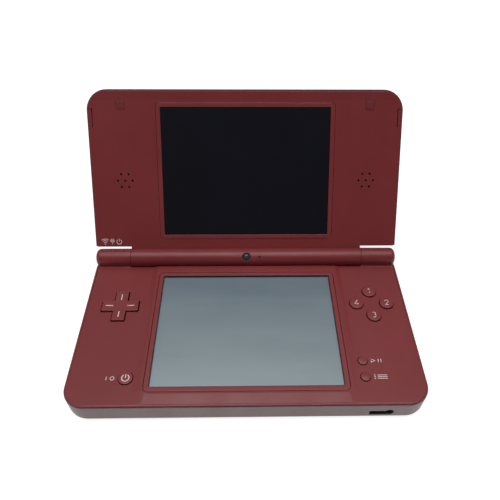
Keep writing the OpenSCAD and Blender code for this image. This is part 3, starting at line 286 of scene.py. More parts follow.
def draw_brushing(wires: Wiring, width: Socket) -> tuple[Socket, ...]:
    """Draws the fine parallel lines of rolled or brushed metal, and its stains."""
    lines = wires.noise(wires.place((1.0, 0.04, 1.0)), wires.scale(width), 3.0, 0.7)
    return lines, wires.spread(wires.noise(wires.place(), 220.0, 3.0, 0.6), 0.0, 1.0, 0.35, 0.7)


GRAIN = Effect("moulded_grain", "Grain", ("Height",), draw_grain)
HANDLING = Effect("handled_plastic", "Patch", ("Tone", "Smear"), draw_handling)
EDGE_WEAR_AND_HIGHLIGHT = Effect("edge_wear_and_highlight", "Width", ("Mask",), draw_edge_wear_and_highlight)
DUST = Effect("screen_dust", "Spacing", ("Speck", "Wipe"), draw_dust)
BRUSHING = Effect("rolled_metal", "Line", ("Height", "Stain"), draw_brushing)


# ---- finishes


@dataclass(frozen=True)
class Finish:
    """A finish of the object: makes its material once and gives it again.

    Its tint is the factor of the colour where the tone is full, and its wear changes the roughness where a mask is
    empty and where it is full.
    """

    name: str
    slot: Slot
    colour: Colour
    roughness: float = 0.5
    tint: float = 1.0
    wear: Flat = (0.0, 0.0)
    depth: float = 0.02

    def material(self) -> bpy.types.Material:
        """Builds the material once.

        Returns:
            The material.
        """
        if self.name in bpy.data.materials:
            return bpy.data.materials[self.name]
        made = bpy.data.materials.new(self.name)
        made.use_nodes = True
        made.node_tree.nodes.clear()
        wires = Wiring(made.node_tree)
        shader = wires.node("ShaderNodeBsdfPrincipled", self.draw(wires))
        wires.node("ShaderNodeOutputMaterial", {"Surface": shader.outputs["BSDF"]})
        made.diffuse_color = (*self.colour, 1.0)
        return made

    def draw(self, wires: Wiring) -> Inputs:
        """Draws the finish and gives what the shader's inputs get."""
        raise NotImplementedError

    def shade(self, factor: float) -> Colour:
        """Gives the finish's colour, scaled."""
        return tuple(value * factor for value in self.colour)

    def worn(self, wires: Wiring, mask: Socket) -> Socket:
        """Gives the roughness with its wear under a mask."""
        return wires.spread(mask, self.roughness + self.wear[0], self.roughness + self.wear[1])

    def surface(self, wires: Wiring, tone: Socket, mask: Socket, height: Socket) -> Inputs:
        """Gives a tinted, worn surface with a relief.

        Args:
            wires: the material's wiring.
            tone: where the colour is tinted.
            mask: where the roughness is worn.
            height: the relief.

        Returns:
            What the shader's inputs get.
        """
        return {"Base Color": wires.blend(tone, self.colour, self.shade(self.tint)),
                "Roughness": self.worn(wires, mask), "Normal": wires.bump(height, self.depth)}


@dataclass(frozen=True)
class MouldedPlastic(Finish):
    """Coloured plastic with a moulded grain, handling marks, and edges paled by wear and a painted highlight."""

    wear: Flat = (-0.05, 0.06)
    depth: float = 0.012
    grain: float = 0.3
    patch: float = 45.0
    spread: float = 0.07
    rub_and_highlight: float = 0.25
    rub_and_highlight_width: float = 0.25
    rub_and_highlight_grey: float = 0.5
    rub_and_highlight_share: float = 0.25
    coat: float = 0.0
    coat_roughness: float = 0.1
    specular: float = 0.35

    def draw(self, wires: Wiring) -> Inputs:
        """Draws grain, tone, smears, and edges paled by wear and a painted highlight.

        Args:
            wires: the material's wiring.

        Returns:
            What the shader's inputs get.
        """
        tone, smear = HANDLING.use(wires, self.patch)
        plain = wires.blend(tone, self.shade(1 - self.spread), self.shade(1 + self.spread))
        # Pale edges: partly wear, partly a painted highlight along the rounded edges.
        pale = tuple((1 - self.rub_and_highlight_share) * value + self.rub_and_highlight_share * self.rub_and_highlight_grey for value in self.colour)
        rubbed_and_highlit = wires.maths("MULTIPLY", *EDGE_WEAR_AND_HIGHLIGHT.use(wires, self.rub_and_highlight_width), self.rub_and_highlight)
        return {"Base Color": wires.blend(rubbed_and_highlit, plain, pale), "Roughness": self.worn(wires, smear),
                "Coat Weight": self.coat, "Coat Roughness": self.coat_roughness,
                "Specular IOR Level": self.specular,
                "Normal": wires.bump(*GRAIN.use(wires, self.grain), self.depth)}


@dataclass(frozen=True)
class RimmedCover(MouldedPlastic):
    """Glossy cover whose rim, next to the inner panel, is plain mauve-grey."""

    rim_colour: Colour = (0.09, 0.034, 0.038)
    rim_from: float = -2.9
    rim_blur: float = 0.05
    rim_roughness: float = 0.42

    def draw(self, wires: Wiring) -> Inputs:
        """Draws the gloss, then lays the rim over it by its height in the lid.

        Args:
            wires: the material's wiring.

        Returns:
            What the shader's inputs get.
        """
        given, lid = super().draw(wires), LAYOUT.lid()
        height = wires.maths("SUBTRACT", wires.towards(wires.place(), lid.out), lid.origin.dot(lid.out) * MM)
        rim = wires.spread(height, 0.0, 1.0, (self.rim_from - self.rim_blur) * MM,
                           (self.rim_from + self.rim_blur) * MM)
        gap = wires.maths("SUBTRACT", self.rim_roughness, given["Roughness"])
        return given | {"Base Color": wires.blend(rim, given["Base Color"], self.rim_colour),
                        "Roughness": wires.maths("MULTIPLY_ADD", gap, rim, given["Roughness"]),
                        "Coat Weight": wires.spread(rim, self.coat, 0.0)}


@dataclass(frozen=True)
class ScreenGlass(Finish):
    """Polished window with dust and wipe marks, plain dark behind."""

    wear: Flat = (0.0, 0.05)
    depth: float = 0.004
    spacing: float = 2.4
    patch: float = 60.0
    dust: Colour = (0.35, 0.35, 0.36)
    specular: float = 0.3

    def draw(self, wires: Wiring) -> Inputs:
        """Draws the dust, the wipe marks and a faint change of tone.

        Args:
            wires: the material's wiring.

        Returns:
            What the shader's inputs get.
        """
        speck, wipe = DUST.use(wires, self.spacing)
        plain = wires.blend(HANDLING.use(wires, self.patch)[0], self.shade(0.8), self.shade(1.25))
        return {"Base Color": wires.blend(wires.maths("MULTIPLY", speck, 0.25), plain, self.dust),
                "Roughness": self.worn(wires, wipe), "Specular IOR Level": self.specular,
                "Normal": wires.bump(wires.noise(wires.place(), 90.0, 1.0), self.depth, 0.4)}


@dataclass(frozen=True)
class TouchFilm(Finish):
    """Blue-grey film of the touch screen, with a painted reflection that pales it towards the player, and wipe marks.
    """

    wear: Flat = (0.0, 0.03)
    depth: float = 0.004
    reflection_ramp_far_colour: Colour = (0.095, 0.127, 0.151)
    reach: Flat = (-36.0, 28.0)
    spacing: float = 1.9
    dust: Colour = (0.55, 0.56, 0.57)

    def draw(self, wires: Wiring) -> Inputs:
        """Draws the painted reflection that pales the film towards the player, a random cloudy tone, its dust and its
        orange-peel surface.

        Args:
            wires: the material's wiring.

        Returns:
            What the shader's inputs get.
        """
        # Painted reflection: the colour runs from the ramp's far colour at the rear to the film's own colour towards
        # the player.
        along = wires.spread(wires.towards(wires.place(), (0.0, 1.0, 0.0)), 0.0, 1.0,
                             self.reach[0] * MM, self.reach[1] * MM)
        cloud = wires.noise(wires.place((0.25, 1.0, 1.0)), 70.0, 3.0)
        shade = wires.maths("ADD", along, wires.spread(cloud, -0.12, 0.12, 0.3, 0.7))
        speck, wipe = DUST.use(wires, self.spacing)
        plain = wires.blend(shade, self.colour, self.reflection_ramp_far_colour)
        return {"Base Color": wires.blend(wires.maths("MULTIPLY", speck, 0.3), plain, self.dust),
                "Roughness": self.worn(wires, wipe),
                "Normal": wires.bump(wires.noise(wires.place(), 2600.0), self.depth, 0.5)}


@dataclass(frozen=True)
class Metal(Finish):
    """Rolled or plated metal."""

    tint: float = 0.82
    wear: Flat = (0.0, 0.12)
    depth: float = 0.004
    line: float = 0.08

    def draw(self, wires: Wiring) -> Inputs:
        """Draws the rolling lines and the stains."""
        lines, stain = BRUSHING.use(wires, self.line)
        return self.surface(wires, stain, stain, lines) | {"Metallic": 1.0}


@dataclass(frozen=True)
class SoftRubber(Finish):
    """Rubber or foam with fine pores."""

    tint: float = 1.35
    wear: Flat = (-0.08, 0.08)
    pore: float = 0.25
    patch: float = 8.0

    def draw(self, wires: Wiring) -> Inputs:
        """Draws the pores and a dusty bloom."""
        return self.surface(wires, *HANDLING.use(wires, self.patch), *GRAIN.use(wires, self.pore))


@dataclass(frozen=True)
class CircuitBoard(Finish):
    """Solder mask over copper tracks, or the amber film of a flexible circuit."""

    wear: Flat = (0.0, -0.1)
    track: Colour = (0.05, 0.2, 0.08)
    pitch: float = 1.1

    def draw(self, wires: Wiring) -> Inputs:
        """Draws the tracks, the round vias and their relief.

        Args:
            wires: the material's wiring.

        Returns:
            What the shader's inputs get.
        """
        bricks = wires.node("ShaderNodeTexBrick", {"Vector": wires.place(), "Scale": 1.0 / (self.pitch * 4 * MM),
                                                   "Mortar Size": 0.03, "Brick Width": 0.9, "Row Height": 0.25},
                            offset=0.37, squash=0.6, squash_frequency=3)
        gate = wires.spread(wires.noise(wires.place(), 90.0, 1.0), 0.0, 1.0, 0.45, 0.5)
        vias = wires.spread(wires.cells(wires.place(), 1.0 / (self.pitch * 2.4 * MM)), 1.0, 0.0, 0.1, 0.16)
        mask = wires.maths("MAXIMUM", wires.maths("MULTIPLY", bricks.outputs["Fac"], gate), vias)
        return {"Base Color": wires.blend(mask, self.colour, self.track),
                "Roughness": self.worn(wires, mask), "Normal": wires.bump(mask, self.depth)}


@dataclass(frozen=True)
class CellWrap(Finish):
    """Shell of the battery pack with its moulded lines."""

    tint: float = 1.4
    wear: Flat = (-0.06, 0.06)
    depth: float = 0.03
    patch: float = 20.0

    def draw(self, wires: Wiring) -> Inputs:
        """Draws fine lines across the shell and handling marks."""
        wave = wires.node("ShaderNodeTexWave", {"Vector": wires.place(), "Scale": 140.0}, bands_direction="Y")
        return self.surface(wires, *HANDLING.use(wires, self.patch), wave.outputs["Fac"])


@dataclass(frozen=True)
class ClearPart(Finish):
    """Lens or light guide: clear plastic or coated glass."""

    tint: float = 1.3
    wear: Flat = (0.0, 0.06)
    ior: float = 1.5
    clear: float = 0.25
    spacing: float = 0.6

    def draw(self, wires: Wiring) -> Inputs:
        """Draws the faint haze of the clear part.

        Args:
            wires: the material's wiring.

        Returns:
            What the shader's inputs get.
        """
        wipe = DUST.use(wires, self.spacing)[1]
        haze = wires.blend(wires.maths("MULTIPLY", wipe, 0.4), self.colour, self.shade(self.tint))
        return {"Base Color": haze, "Roughness": self.worn(wires, wipe), "IOR": self.ior,
                "Transmission Weight": self.clear}


@dataclass(frozen=True)
class PrintInk(Finish):
    """Pad-printed mark, a little uneven where the ink is thin."""

    tint: float = 0.6
    wear: Flat = (0.0, 0.15)
    depth: float = 0.006

    def draw(self, wires: Wiring) -> Inputs:
        """Draws the thin places and the dry surface of the ink."""
        thin = wires.spread(wires.noise(wires.place(), 2200.0, 3.0, 0.6), 0.0, 0.35, 0.5, 0.75)
        return self.surface(wires, thin, thin, wires.noise(wires.place(), 5200.0))


@dataclass(frozen=True)
class StudioFloor(Finish):
    """Pale, even floor of the studio."""

    tint: float = 0.985
    glow: float = 0.8
    specular: float = 0.1

    def draw(self, wires: Wiring) -> Inputs:
        """Draws a barely visible paper tooth.

        Args:
            wires: the material's wiring.

        Returns:
            What the shader's inputs get.
        """
        tooth = wires.noise(wires.place(), 600.0, 3.0, 0.6)
        return {"Base Color": wires.blend(tooth, self.colour, self.shade(self.tint)), "Roughness": self.roughness,
                "Specular IOR Level": self.specular, "Emission Strength": self.glow,
                "Emission Color": (1.0, 1.0, 1.0)}


GLOSSY = {"grain": 1.2, "depth": 0.001, "spread": 0.1, "rub_and_highlight": 0.12, "coat": 0.55, "coat_roughness": 0.05,
          "specular": 0.2}
"""What the glossy mouldings share."""


@dataclass(frozen=True)
class Palette:
    """Every finish of the console."""

    casing: Finish = MouldedPlastic("burgundy_satin", Slot.CASING, (0.142, 0.018, 0.020), 0.36, specular=0.26)
    band: Finish = MouldedPlastic("burgundy_satin_trim", Slot.CASING, (0.150, 0.020, 0.022), 0.33, grain=0.2,
                                  depth=0.008, specular=0.28)
    button: Finish = MouldedPlastic("burgundy_button", Slot.CASING, (0.146, 0.017, 0.019), 0.34, grain=0.18,
                                    depth=0.006, patch=12.0)
    pad: Finish = MouldedPlastic("burgundy_soft_pad", Slot.CASING, (0.118, 0.013, 0.015), 0.5, grain=0.5, rub_and_highlight=0.1,
                                 specular=0.25)
    gloss: Finish = MouldedPlastic("burgundy_gloss", Slot.GLOSS, (0.085, 0.010, 0.013), 0.3, **GLOSSY)
    cover: Finish = RimmedCover("burgundy_gloss_cover", Slot.GLOSS, (0.085, 0.010, 0.013), 0.3, **GLOSSY)
    rim: Finish = MouldedPlastic("polished_rim", Slot.BLACK, (0.12, 0.05, 0.052), 0.25, rub_and_highlight=0.0)
    tub: Finish = MouldedPlastic("mauve_grey_satin", Slot.TUB, (0.131, 0.087, 0.087), 0.42, grain=0.35)
    window: Finish = ScreenGlass("dark_window", Slot.WINDOW, (0.0025, 0.0026, 0.0055), 0.05)
    # The touch film's colour is its near end, paled by a painted reflection.
    touch: Finish = TouchFilm("blue_grey_touch_film", Slot.TOUCH, (0.195, 0.238, 0.256), 0.2)
    rubber: Finish = SoftRubber("dark_rubber", Slot.RUBBER, (0.02, 0.02, 0.021), 0.75)
    silicone: Finish = SoftRubber("grey_silicone", Slot.SILICONE, (0.26, 0.26, 0.275), 0.55, pore=0.6, depth=0.008)
    board: Finish = CircuitBoard("circuit_board", Slot.BOARD, (0.012, 0.085, 0.035), 0.32)
    flex: Finish = CircuitBoard("flexible_circuit", Slot.FLEX, (0.42, 0.16, 0.03), 0.35, track=(0.55, 0.27, 0.08),
                                pitch=0.5)
    black: Finish = MouldedPlastic("black_moulding", Slot.BLACK, (0.012, 0.012, 0.013), 0.5, rub_and_highlight=0.1)
    sheet: Finish = Metal("bare_sheet_metal", Slot.SHEET, (0.62, 0.63, 0.65), 0.3)
    screw: Finish = Metal("plated_screw", Slot.SCREW, (0.42, 0.42, 0.44), 0.24, line=0.05)
    contact: Finish = Metal("gold_contact", Slot.CONTACT, (0.8, 0.56, 0.2), 0.25, line=0.05)
    battery: Finish = CellWrap("battery_shell", Slot.BATTERY, (0.035, 0.045, 0.06), 0.45)
    guide: Finish = ClearPart("smoky_guide", Slot.CLEAR, (0.17, 0.03, 0.035), 0.25)
    lens: Finish = ClearPart("coated_lens", Slot.LENS, (0.03, 0.028, 0.03), 0.06)
    ink: Finish = PrintInk("pale_ink", Slot.CASING, (0.56, 0.42, 0.42), 0.5)
    # Near-black finish of the bands of painted shadow inside the touch window and the headphone opening, also used
    # for the camera's cone.
    shadow: Finish = MouldedPlastic("black_shadow_band", Slot.WINDOW, (0.006, 0.004, 0.005), 0.6, rub_and_highlight=0.0)
    floor: Finish = StudioFloor("studio_floor", Slot.TUB, (0.35, 0.35, 0.35), 0.8)


FINISH = Palette()


# ---- meshes


@dataclass(frozen=True)
class Place:
    """A flat place on the object: its origin in millimetres and its three directions."""

    origin: Vector
    across: Vector = Vector((1.0, 0.0, 0.0))
    up: Vector = Vector((0.0, 1.0, 0.0))
    out: Vector = Vector((0.0, 0.0, 1.0))

    def world(self, point: Point) -> Vector:
        """Gives a point of this place in metres."""
        return (self.origin + self.across * point[0] + self.up * point[1] + self.out * point[2]) * MM

    def at(self, across: float, up: float, out: float = 0.0) -> Place:
        """Gives the same place with its origin moved along its own directions."""
        return Place(self.world((across, up, out)) / MM, self.across, self.up, self.out)


@dataclass
class Shape:
    """Points and faces of a piece, in the millimetres of its place."""

    points: list[Point] = field(default_factory=list)
    faces: list[tuple[int, ...]] = field(default_factory=list)

    def loop(self, points: Iterable[Point]) -> list[int]:
        """Adds a ring of points and gives their numbers."""
        start = len(self.points)
        self.points.extend(points)
        return list(range(start, len(self.points)))

    def add(self, other: Shape) -> Shape:
        """Adds another shape to this one."""
        start = len(self.points)
        self.points.extend(other.points)
        self.faces.extend(tuple(start + i for i in face) for face in other.faces)
        return self


def skinned(rings: Iterable[Iterable[Point]], ring: bool = False) -> Shape:
    """Joins rings of equally many points with quads.

    Args:
        rings: the rings in order.
        ring: joins the last ring to the first instead of closing both with a face.

    Returns:
        The shape.
    """
    shape = Shape()
    loops = [shape.loop(points) for points in rings]
    if ring:
        loops.append(loops[0])
    else:
        shape.faces += [tuple(reversed(loops[0])), tuple(loops[-1])]
    for low, high in zip(loops, loops[1:]):
        shape.faces += zip(low, low[1:] + low[:1], high[1:] + high[:1], high)
    return shape


def many(shapes: Iterable[Shape]) -> Shape:
    """Joins shapes into one."""
    whole = Shape()
    for shape in shapes:
        whole.add(shape)
    return whole


def arc(centre: Flat, radius: float, start: float, stop: float, count: int = 14) -> list[Flat]:
    """Gives points on an arc between two angles in degrees, in so many segments."""
    turns = [math.radians(start + (stop - start) * i / count) for i in range(count + 1)]
    return [(centre[0] + radius * math.cos(a), centre[1] + radius * math.sin(a)) for a in turns]


def disc(radius: float, count: int = 64) -> Outline:
    """Gives a circle's outline, as a function of how far it is inset."""
    return lambda inset: arc((0.0, 0.0), radius - inset, 0, 360, count)[:-1]


def rounded(half_x: float, half_y: float, radius: float, count: int = 8) -> Outline:
    """Gives the outline of a rounded rectangle, as a function of how far it is inset.

    Args:
        half_x: half of its width.
        half_y: half of its height.
        radius: radius of its corners.
        count: segments in a corner.

    Returns:
        The outline's function.
    """
    def points(inset: float) -> list[Flat]:
        """Gives the outline at an inset."""
        r = max(radius - inset, 0.02)
        x, y = half_x - inset - r, half_y - inset - r
        corners = ((x, y), (-x, y), (-x, -y), (x, -y))
        return [spot for k, corner in enumerate(corners) for spot in arc(corner, r, 90 * k, 90 * (k + 1), count)]
    return points


def crowned(outline: Outline, profile: Sequence[Flat], ring: bool = False) -> Shape:
    """Makes a solid whose rings follow an outline, each at its inset and height, or a frame with ring."""
    return skinned([[(x, y, z) for x, y in outline(inset)] for inset, z in profile], ring)


def fillet(edge: float, top: float, steps: int = 5) -> list[Flat]:
    """Gives the rings of a rounded upper edge as insets and heights."""
    turns = [math.pi / 2 * i / steps for i in range(steps + 1)]
    return [(edge * (1 - math.cos(a)), top - edge + edge * math.sin(a)) for a in turns]


def flat_height(x: float, y: float) -> float:
    """Gives the height of a flat surface."""
    return 0.0


def stroke(path: Sequence[Flat], width: float, thick: float = 0.02, lie: Height = flat_height) -> Shape:
    """Makes a printed line of even width on a surface.

    Args:
        path: points of its middle line.
        width: width of the line.
        thick: thickness of the ink.
        lie: height of the surface under a point.

    Returns:
        The line as a thin solid.
    """
    steps = [Vector(b) - Vector(a) for a, b in zip(path, path[1:])]
    rings = []
    for here, into, outof in zip(path, steps[:1] + steps, steps + steps[-1:]):
        middle = (into.normalized() + outof.normalized()).normalized()
        reach = width / 2 / max(middle.dot(into.normalized()), 0.5)
        side = Vector((-middle.y, middle.x)) * reach
        a, b = Vector(here) + side, Vector(here) - side
        rings.append([(p.x, p.y, lie(p.x, p.y) + rise)
                      for p, rise in ((a, -thick), (b, -thick), (b, thick), (a, thick))])
    return skinned(rings)


def dot(centre: Flat, radius: float, thick: float = 0.02) -> Shape:
    """Makes a printed dot."""
    ring = arc(centre, radius, 0, 360, 20)[:-1]
    return skinned([[(x, y, z) for x, y in ring] for z in (-thick, thick)])


def drawn(lines: Iterable[Sequence[Flat]], width: float, lie: Height = flat_height, size: float = 1.0) -> Shape:
    """Makes printed lines on a surface, their points scaled by size."""
    return many(stroke([(x * size, y * size) for x, y in line], width, lie=lie) for line in lines)


def piece(name: str, shape: Shape, place: Place, finish: Finish, body: str, replaces: Sequence[str] = (),
          smooth: float = 35.0, subdivide: int = 0) -> None:
    """Makes a piece of the console and sets it on its body.

    Args:
        name: its name.
        shape: its points and faces.
        place: where it lies.
        finish: its finish.
        body: the body that it rides on.
        replaces: the CAD nodes that it stands for.
        smooth: edges turned by less than this many degrees are shaded smooth.
        subdivide: levels of subdivision.
    """
    mesh = bpy.data.meshes.new(name)
    mesh.from_pydata([place.world(p) for p in shape.points], [], shape.faces)
    work = bmesh.new()
    work.from_mesh(mesh)
    bmesh.ops.recalc_face_normals(work, faces=work.faces)
    work.to_mesh(mesh)
    work.free()
    mesh.polygons.foreach_set("use_smooth", [True] * len(mesh.polygons))
    mesh.set_sharp_from_angle(angle=math.radians(smooth))
    mesh.materials.append(finish.material())
    made = bpy.data.objects.new(name, mesh)
    bpy.context.scene.collection.objects.link(made)
    if subdivide:
        surface = made.modifiers.new("surface", "SUBSURF")
        surface.levels = surface.render_levels = subdivide
    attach(made, body)
    if replaces:
        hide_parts(*replaces)
    LOG.info("made %s on %s, %d points", name, body, len(shape.points))


def soften(part: bpy.types.Object, edge: float, limit: float = 32.0) -> None:
    """Joins the facets of a CAD node and rounds its edges.

    Args:
        part: the node's object.
        edge: width of the rounding in millimetres.
        limit: edges turned by more than this many degrees are rounded.
    """
    weld = part.modifiers.new("weld", "WELD")
    weld.merge_threshold = 0.002 * MM
    flat = part.modifiers.new("flatten", "DECIMATE")
    flat.decimate_type = "DISSOLVE"
    flat.angle_limit = math.radians(0.6)
    soft = part.modifiers.new("soft_edges", "BEVEL")
    soft.width = edge * MM
    soft.segments = 2
    soft.limit_method = "ANGLE"
    soft.angle_limit = math.radians(limit)
    soft.use_clamp_overlap = False
    soft.miter_outer = "MITER_ARC"
    part.modifiers.new("even_shading", "WEIGHTED_NORMAL").weight = 60


def dress(finish: Finish, *nodes: str, edge: float = 0.0) -> None:
    """Gives CAD nodes their finish and softens their edges.

    Args:
        finish: the finish.
        nodes: names of the nodes.
        edge: width of the softened edges in millimetres, 0 for none.
    """
    for node in nodes:
        part = frame["nodes"][node]
        part.data.materials.clear()
        part.data.materials.append(finish.material())
        if edge:
            soften(part, edge)
        LOG.info("dressed %s in %s", node, finish.name)


def middle(node: str) -> Vector:
    """Gives the middle of a CAD node's box in millimetres."""
    low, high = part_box(node)
    return (low + high) / 2 / MM


def top(node: str) -> float:
    """Gives the highest point of a CAD node in millimetres."""
    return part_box(node)[1].z / MM


# ---- places


@dataclass(frozen=True)
class Layout:
    """Places of the console that its pieces share, in millimetres."""

    lid_open: float = 125.0
    face: float = 0.8
    deck: float = 12.6
    plateau: float = 13.4

    def hinge(self) -> Vector:
        """Gives a point on the hinge axis."""
        return next(Vector(joint["pos_m"]) / MM for joint in frame["joints"] if joint["name"] == "lid_hinge")

    def lid(self) -> Place:
        """Gives the lid's inner side: across it, away from the hinge, and out of its face."""
        tilt = math.radians(180 - self.lid_open)
        return Place(self.hinge(), up=Vector((0, math.cos(tilt), math.sin(tilt))),
                     out=Vector((0, -math.sin(tilt), math.cos(tilt))))

    def level(self, node: str, height: float) -> Place:
        """Gives a level place at a node's middle and at a height."""
        spot = middle(node)
        return Place(Vector((spot.x, spot.y, height)))

    def front(self) -> Place:
        """Gives the front wall of the lower half."""
        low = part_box("lower_housing")[0] / MM
        return Place(Vector((0, low.y, 0)), up=Vector((0, 0, 1)), out=Vector((0, -1, 0)))


LAYOUT = Layout()


# ---- sub-assemblies


@dataclass
class LowerCasing:
    """Housing tub, control deck, battery cover, feet and screws."""

    edge: float = 0.18
    seam: float = 0.12

    def build(self) -> None:
        """Dresses the casing of the lower half."""
        dress(FINISH.tub, "lower_housing", "battery_cover", edge=self.seam)
        dress(FINISH.casing, "control_deck", edge=self.edge)
        dress(FINISH.rubber, "rubber_feet")
        dress(FINISH.screw, "housing_screws", "battery_cover_screws")


@dataclass
class LowerScreen:
    """Touch screen of the lower half with its surround."""

    window: Flat = (86.7, 64.6)
    shadow_band: float = 0.22
    bite: float = 0.02
    drop: float = 0.25
    corner: float = 0.6
    edge: float = 0.2

    def build(self) -> None:
        """Dresses the screen and lays a black band of painted shadow on the inside walls of its surround."""
        dress(FINISH.band, "lower_screen_surround", edge=self.edge)
        dress(FINISH.touch, "touch_panel")
        dress(FINISH.rubber, "lower_screen_gasket")
        dress(FINISH.sheet, "lower_lcd")
        lower = top("touch_panel")
        high = LAYOUT.plateau - lower - self.drop
        outline = rounded(self.window[0] / 2 + self.bite, self.window[1] / 2 + self.bite, self.corner)
        profile = [(0.0, -self.bite), (0.0, high), (self.shadow_band, high), (self.shadow_band, -self.bite)]
        # Black band of painted shadow on the walls of the recess round the touch panel.
        piece("touch_window_shadow_band", crowned(outline, profile, ring=True),
              LAYOUT.level("lower_screen_surround", lower), FINISH.shadow, "base")


@dataclass
class DirectionPad:
    """Cross-shaped pad, dished in the middle, with a line on each arm."""

    span: float = 17.9
    arm: float = 6.2
    root: float = 2.4
    soft: float = 0.45
    dish: float = 0.3
    skirt: float = 3.4
    mark_length: float = 3.5
    mark_width: float = 0.48
    mark_middle: float = 5.3
    mark_thick: float = 0.03

    def height(self, x: float, y: float) -> float:
        """Gives the height of the dished top at a place."""
        reach = min(1.0, math.hypot(x, y) / (self.span / 2))
        return -self.dish * (1 - reach ** 1.5)

    def cross(self) -> Shape:
        """Builds the cross from the cells of a grid, with a band of soft edge round it.

        Returns:
            The cross before its subdivision.
        """
        half, arm, soft = self.span / 2, self.arm / 2, self.soft
        lines = [-half, -half + soft, -arm - self.root, -arm - soft, -arm, -arm + soft, -arm / 3]
        lines += [-value for value in reversed(lines)]
        steps = range(len(lines) - 1)
        cells = [(i, j) for i in steps for j in steps
                 if min(abs(lines[i] + lines[i + 1]), abs(lines[j] + lines[j + 1])) / 2 < arm]
        rings = [[(i, j), (i + 1, j), (i + 1, j + 1), (i, j + 1)] for i, j in cells]
        sides = {side for ring in rings for side in zip(ring, ring[1:] + ring[:1])}
        border = sorted(side for side in sides if side[::-1] not in sides)
        shape = Shape()

        def layer(knots: Iterable[tuple[int, int]], height: Height) -> dict[tuple[int, int], int]:
            """Adds a point over each crossing of the grid, and gives their numbers."""
            spots = {knot: (lines[knot[0]], lines[knot[1]]) for knot in knots}
            return {knot: shape.loop([(x, y, height(x, y))])[0] for knot, (x, y) in spots.items()}

        inside = sorted({knot for ring in rings for knot in ring})
        around = sorted({knot for side in border for knot in side})
        layers = [layer(inside, self.height), layer(around, lambda x, y: self.height(x, y) - soft),
                  layer(around, lambda x, y: soft - self.skirt), layer(inside, lambda x, y: -self.skirt)]
        for ring in rings:
            shape.faces += [tuple(layers[0][knot] for knot in ring), tuple(layers[-1][knot] for knot in ring[::-1])]
        for high, low in zip(layers, layers[1:]):
            shape.faces += [(high[b], high[a], low[a], low[b]) for a, b in border]
        return shape

    def marks(self) -> Shape:
        """Builds the printed line on each arm.

        Returns:
            The four lines.
        """
        reach = [self.mark_middle + self.mark_length * k / 6 for k in range(-3, 4)]
        return many(stroke([(c * r, s * r) for r in reach], self.mark_width, self.mark_thick,
                           lambda x, y: self.height(x, y) + 0.01) for c, s in ((1, 0), (0, 1), (-1, 0), (0, -1)))

    def build(self) -> None:
        """Builds the pad and prints its marks."""
        place = LAYOUT.level("dpad", top("dpad"))
        piece("direction_pad", self.cross(), place, FINISH.button, "dpad", ["dpad"], subdivide=3)
        piece("direction_pad_marks", self.marks(), place, FINISH.ink, "dpad")


@dataclass
class RoundButton:
    """Round button with a softened rim, a gentle dome and a flange under the deck."""

    node: str
    radius: float
    dome: float = 0.12
    rim: float = 0.3
    flange: float = 0.8
    flange_thick: float = 0.8

    def height(self, x: float, y: float) -> float:
        """Gives the height of the dome at a place."""
        return self.dome * max(0.0, 1 - (x * x + y * y) / (self.radius - self.rim) ** 2) - self.dome

    def place(self) -> Place:
        """Gives the place of the button's top."""
        return LAYOUT.level(self.node, top(self.node))

    def build(self) -> None:
        """Builds the button."""
        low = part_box(self.node)[0].z / MM - top(self.node)
        high, inner = low + self.flange_thick, self.radius - self.rim
        profile = [(0.6 * self.radius, low), (-self.flange, low), (-self.flange, high), (0.0, high)]
        profile += fillet(self.rim, -self.dome)
        profile += [(self.radius - r, self.height(r, 0.0)) for r in (inner * k / 6 for k in (5, 4, 3, 2, 1, 0.3))]
        piece(self.node + "_cap", crowned(disc(self.radius), profile), self.place(), FINISH.button, self.node,
              [self.node])


@dataclass
class DeckControls:
    """Direction pad, face buttons, start, select and power with their printed marks."""

    face_radius: float = 3.5
    menu_radius: float = 2.2
    power_radius: float = 3.2
    digit_size: float = 1.5
    ink_width: float = 0.3
    power_ink_width: float = 0.46
    mat_edge: float = 0.1

    def digits(self) -> list[list[list[Flat]]]:
        """Gives the lines of the plain numbers 1 to 4, two units tall.

        Returns:
            The lines of each number.
        """
        return [[[(-0.42, 0.55), (0.1, 1.0), (0.1, -1.0)]],
                [arc((0.0, 0.42), 0.58, 165, -35, 9) + [(-0.6, -1.0), (0.62, -1.0)]],
                [arc((-0.02, 0.48), 0.52, 150, -80, 9), arc((-0.02, -0.48), 0.54, 80, -150, 9)],
                [[(0.28, -1.0), (0.28, 1.0)], [(0.28, 1.0), (-0.62, -0.4), (0.66, -0.4)]]]

    def build(self) -> None:
        """Builds all controls of the deck."""
        DirectionPad().build()
        for number, (name, lines) in enumerate(zip(("top", "right", "bottom", "left"), self.digits()), 1):
            button = RoundButton("face_button_" + name, self.face_radius)
            button.build()
            mark = drawn(lines, self.ink_width, button.height, self.digit_size)
            piece("number_" + str(number), mark, button.place(), FINISH.ink, button.node)
        for name in ("start_button", "select_button"):
            RoundButton(name, self.menu_radius, dome=0.1, rim=0.25, flange=0.7).build()
        power = RoundButton("power_button", self.power_radius, dome=0.05, rim=0.25)
        power.build()
        symbol = [arc((0.0, -0.12), 1.62, 122, 418, 28), [(0.0, -0.1), (0.0, 1.75)]]
        piece("power_symbol", drawn(symbol, self.power_ink_width, power.height), power.place(), FINISH.ink,
              "power_button")
        dress(FINISH.silicone, "face_button_mat", "menu_button_mat", "dpad_mat", edge=self.mat_edge)


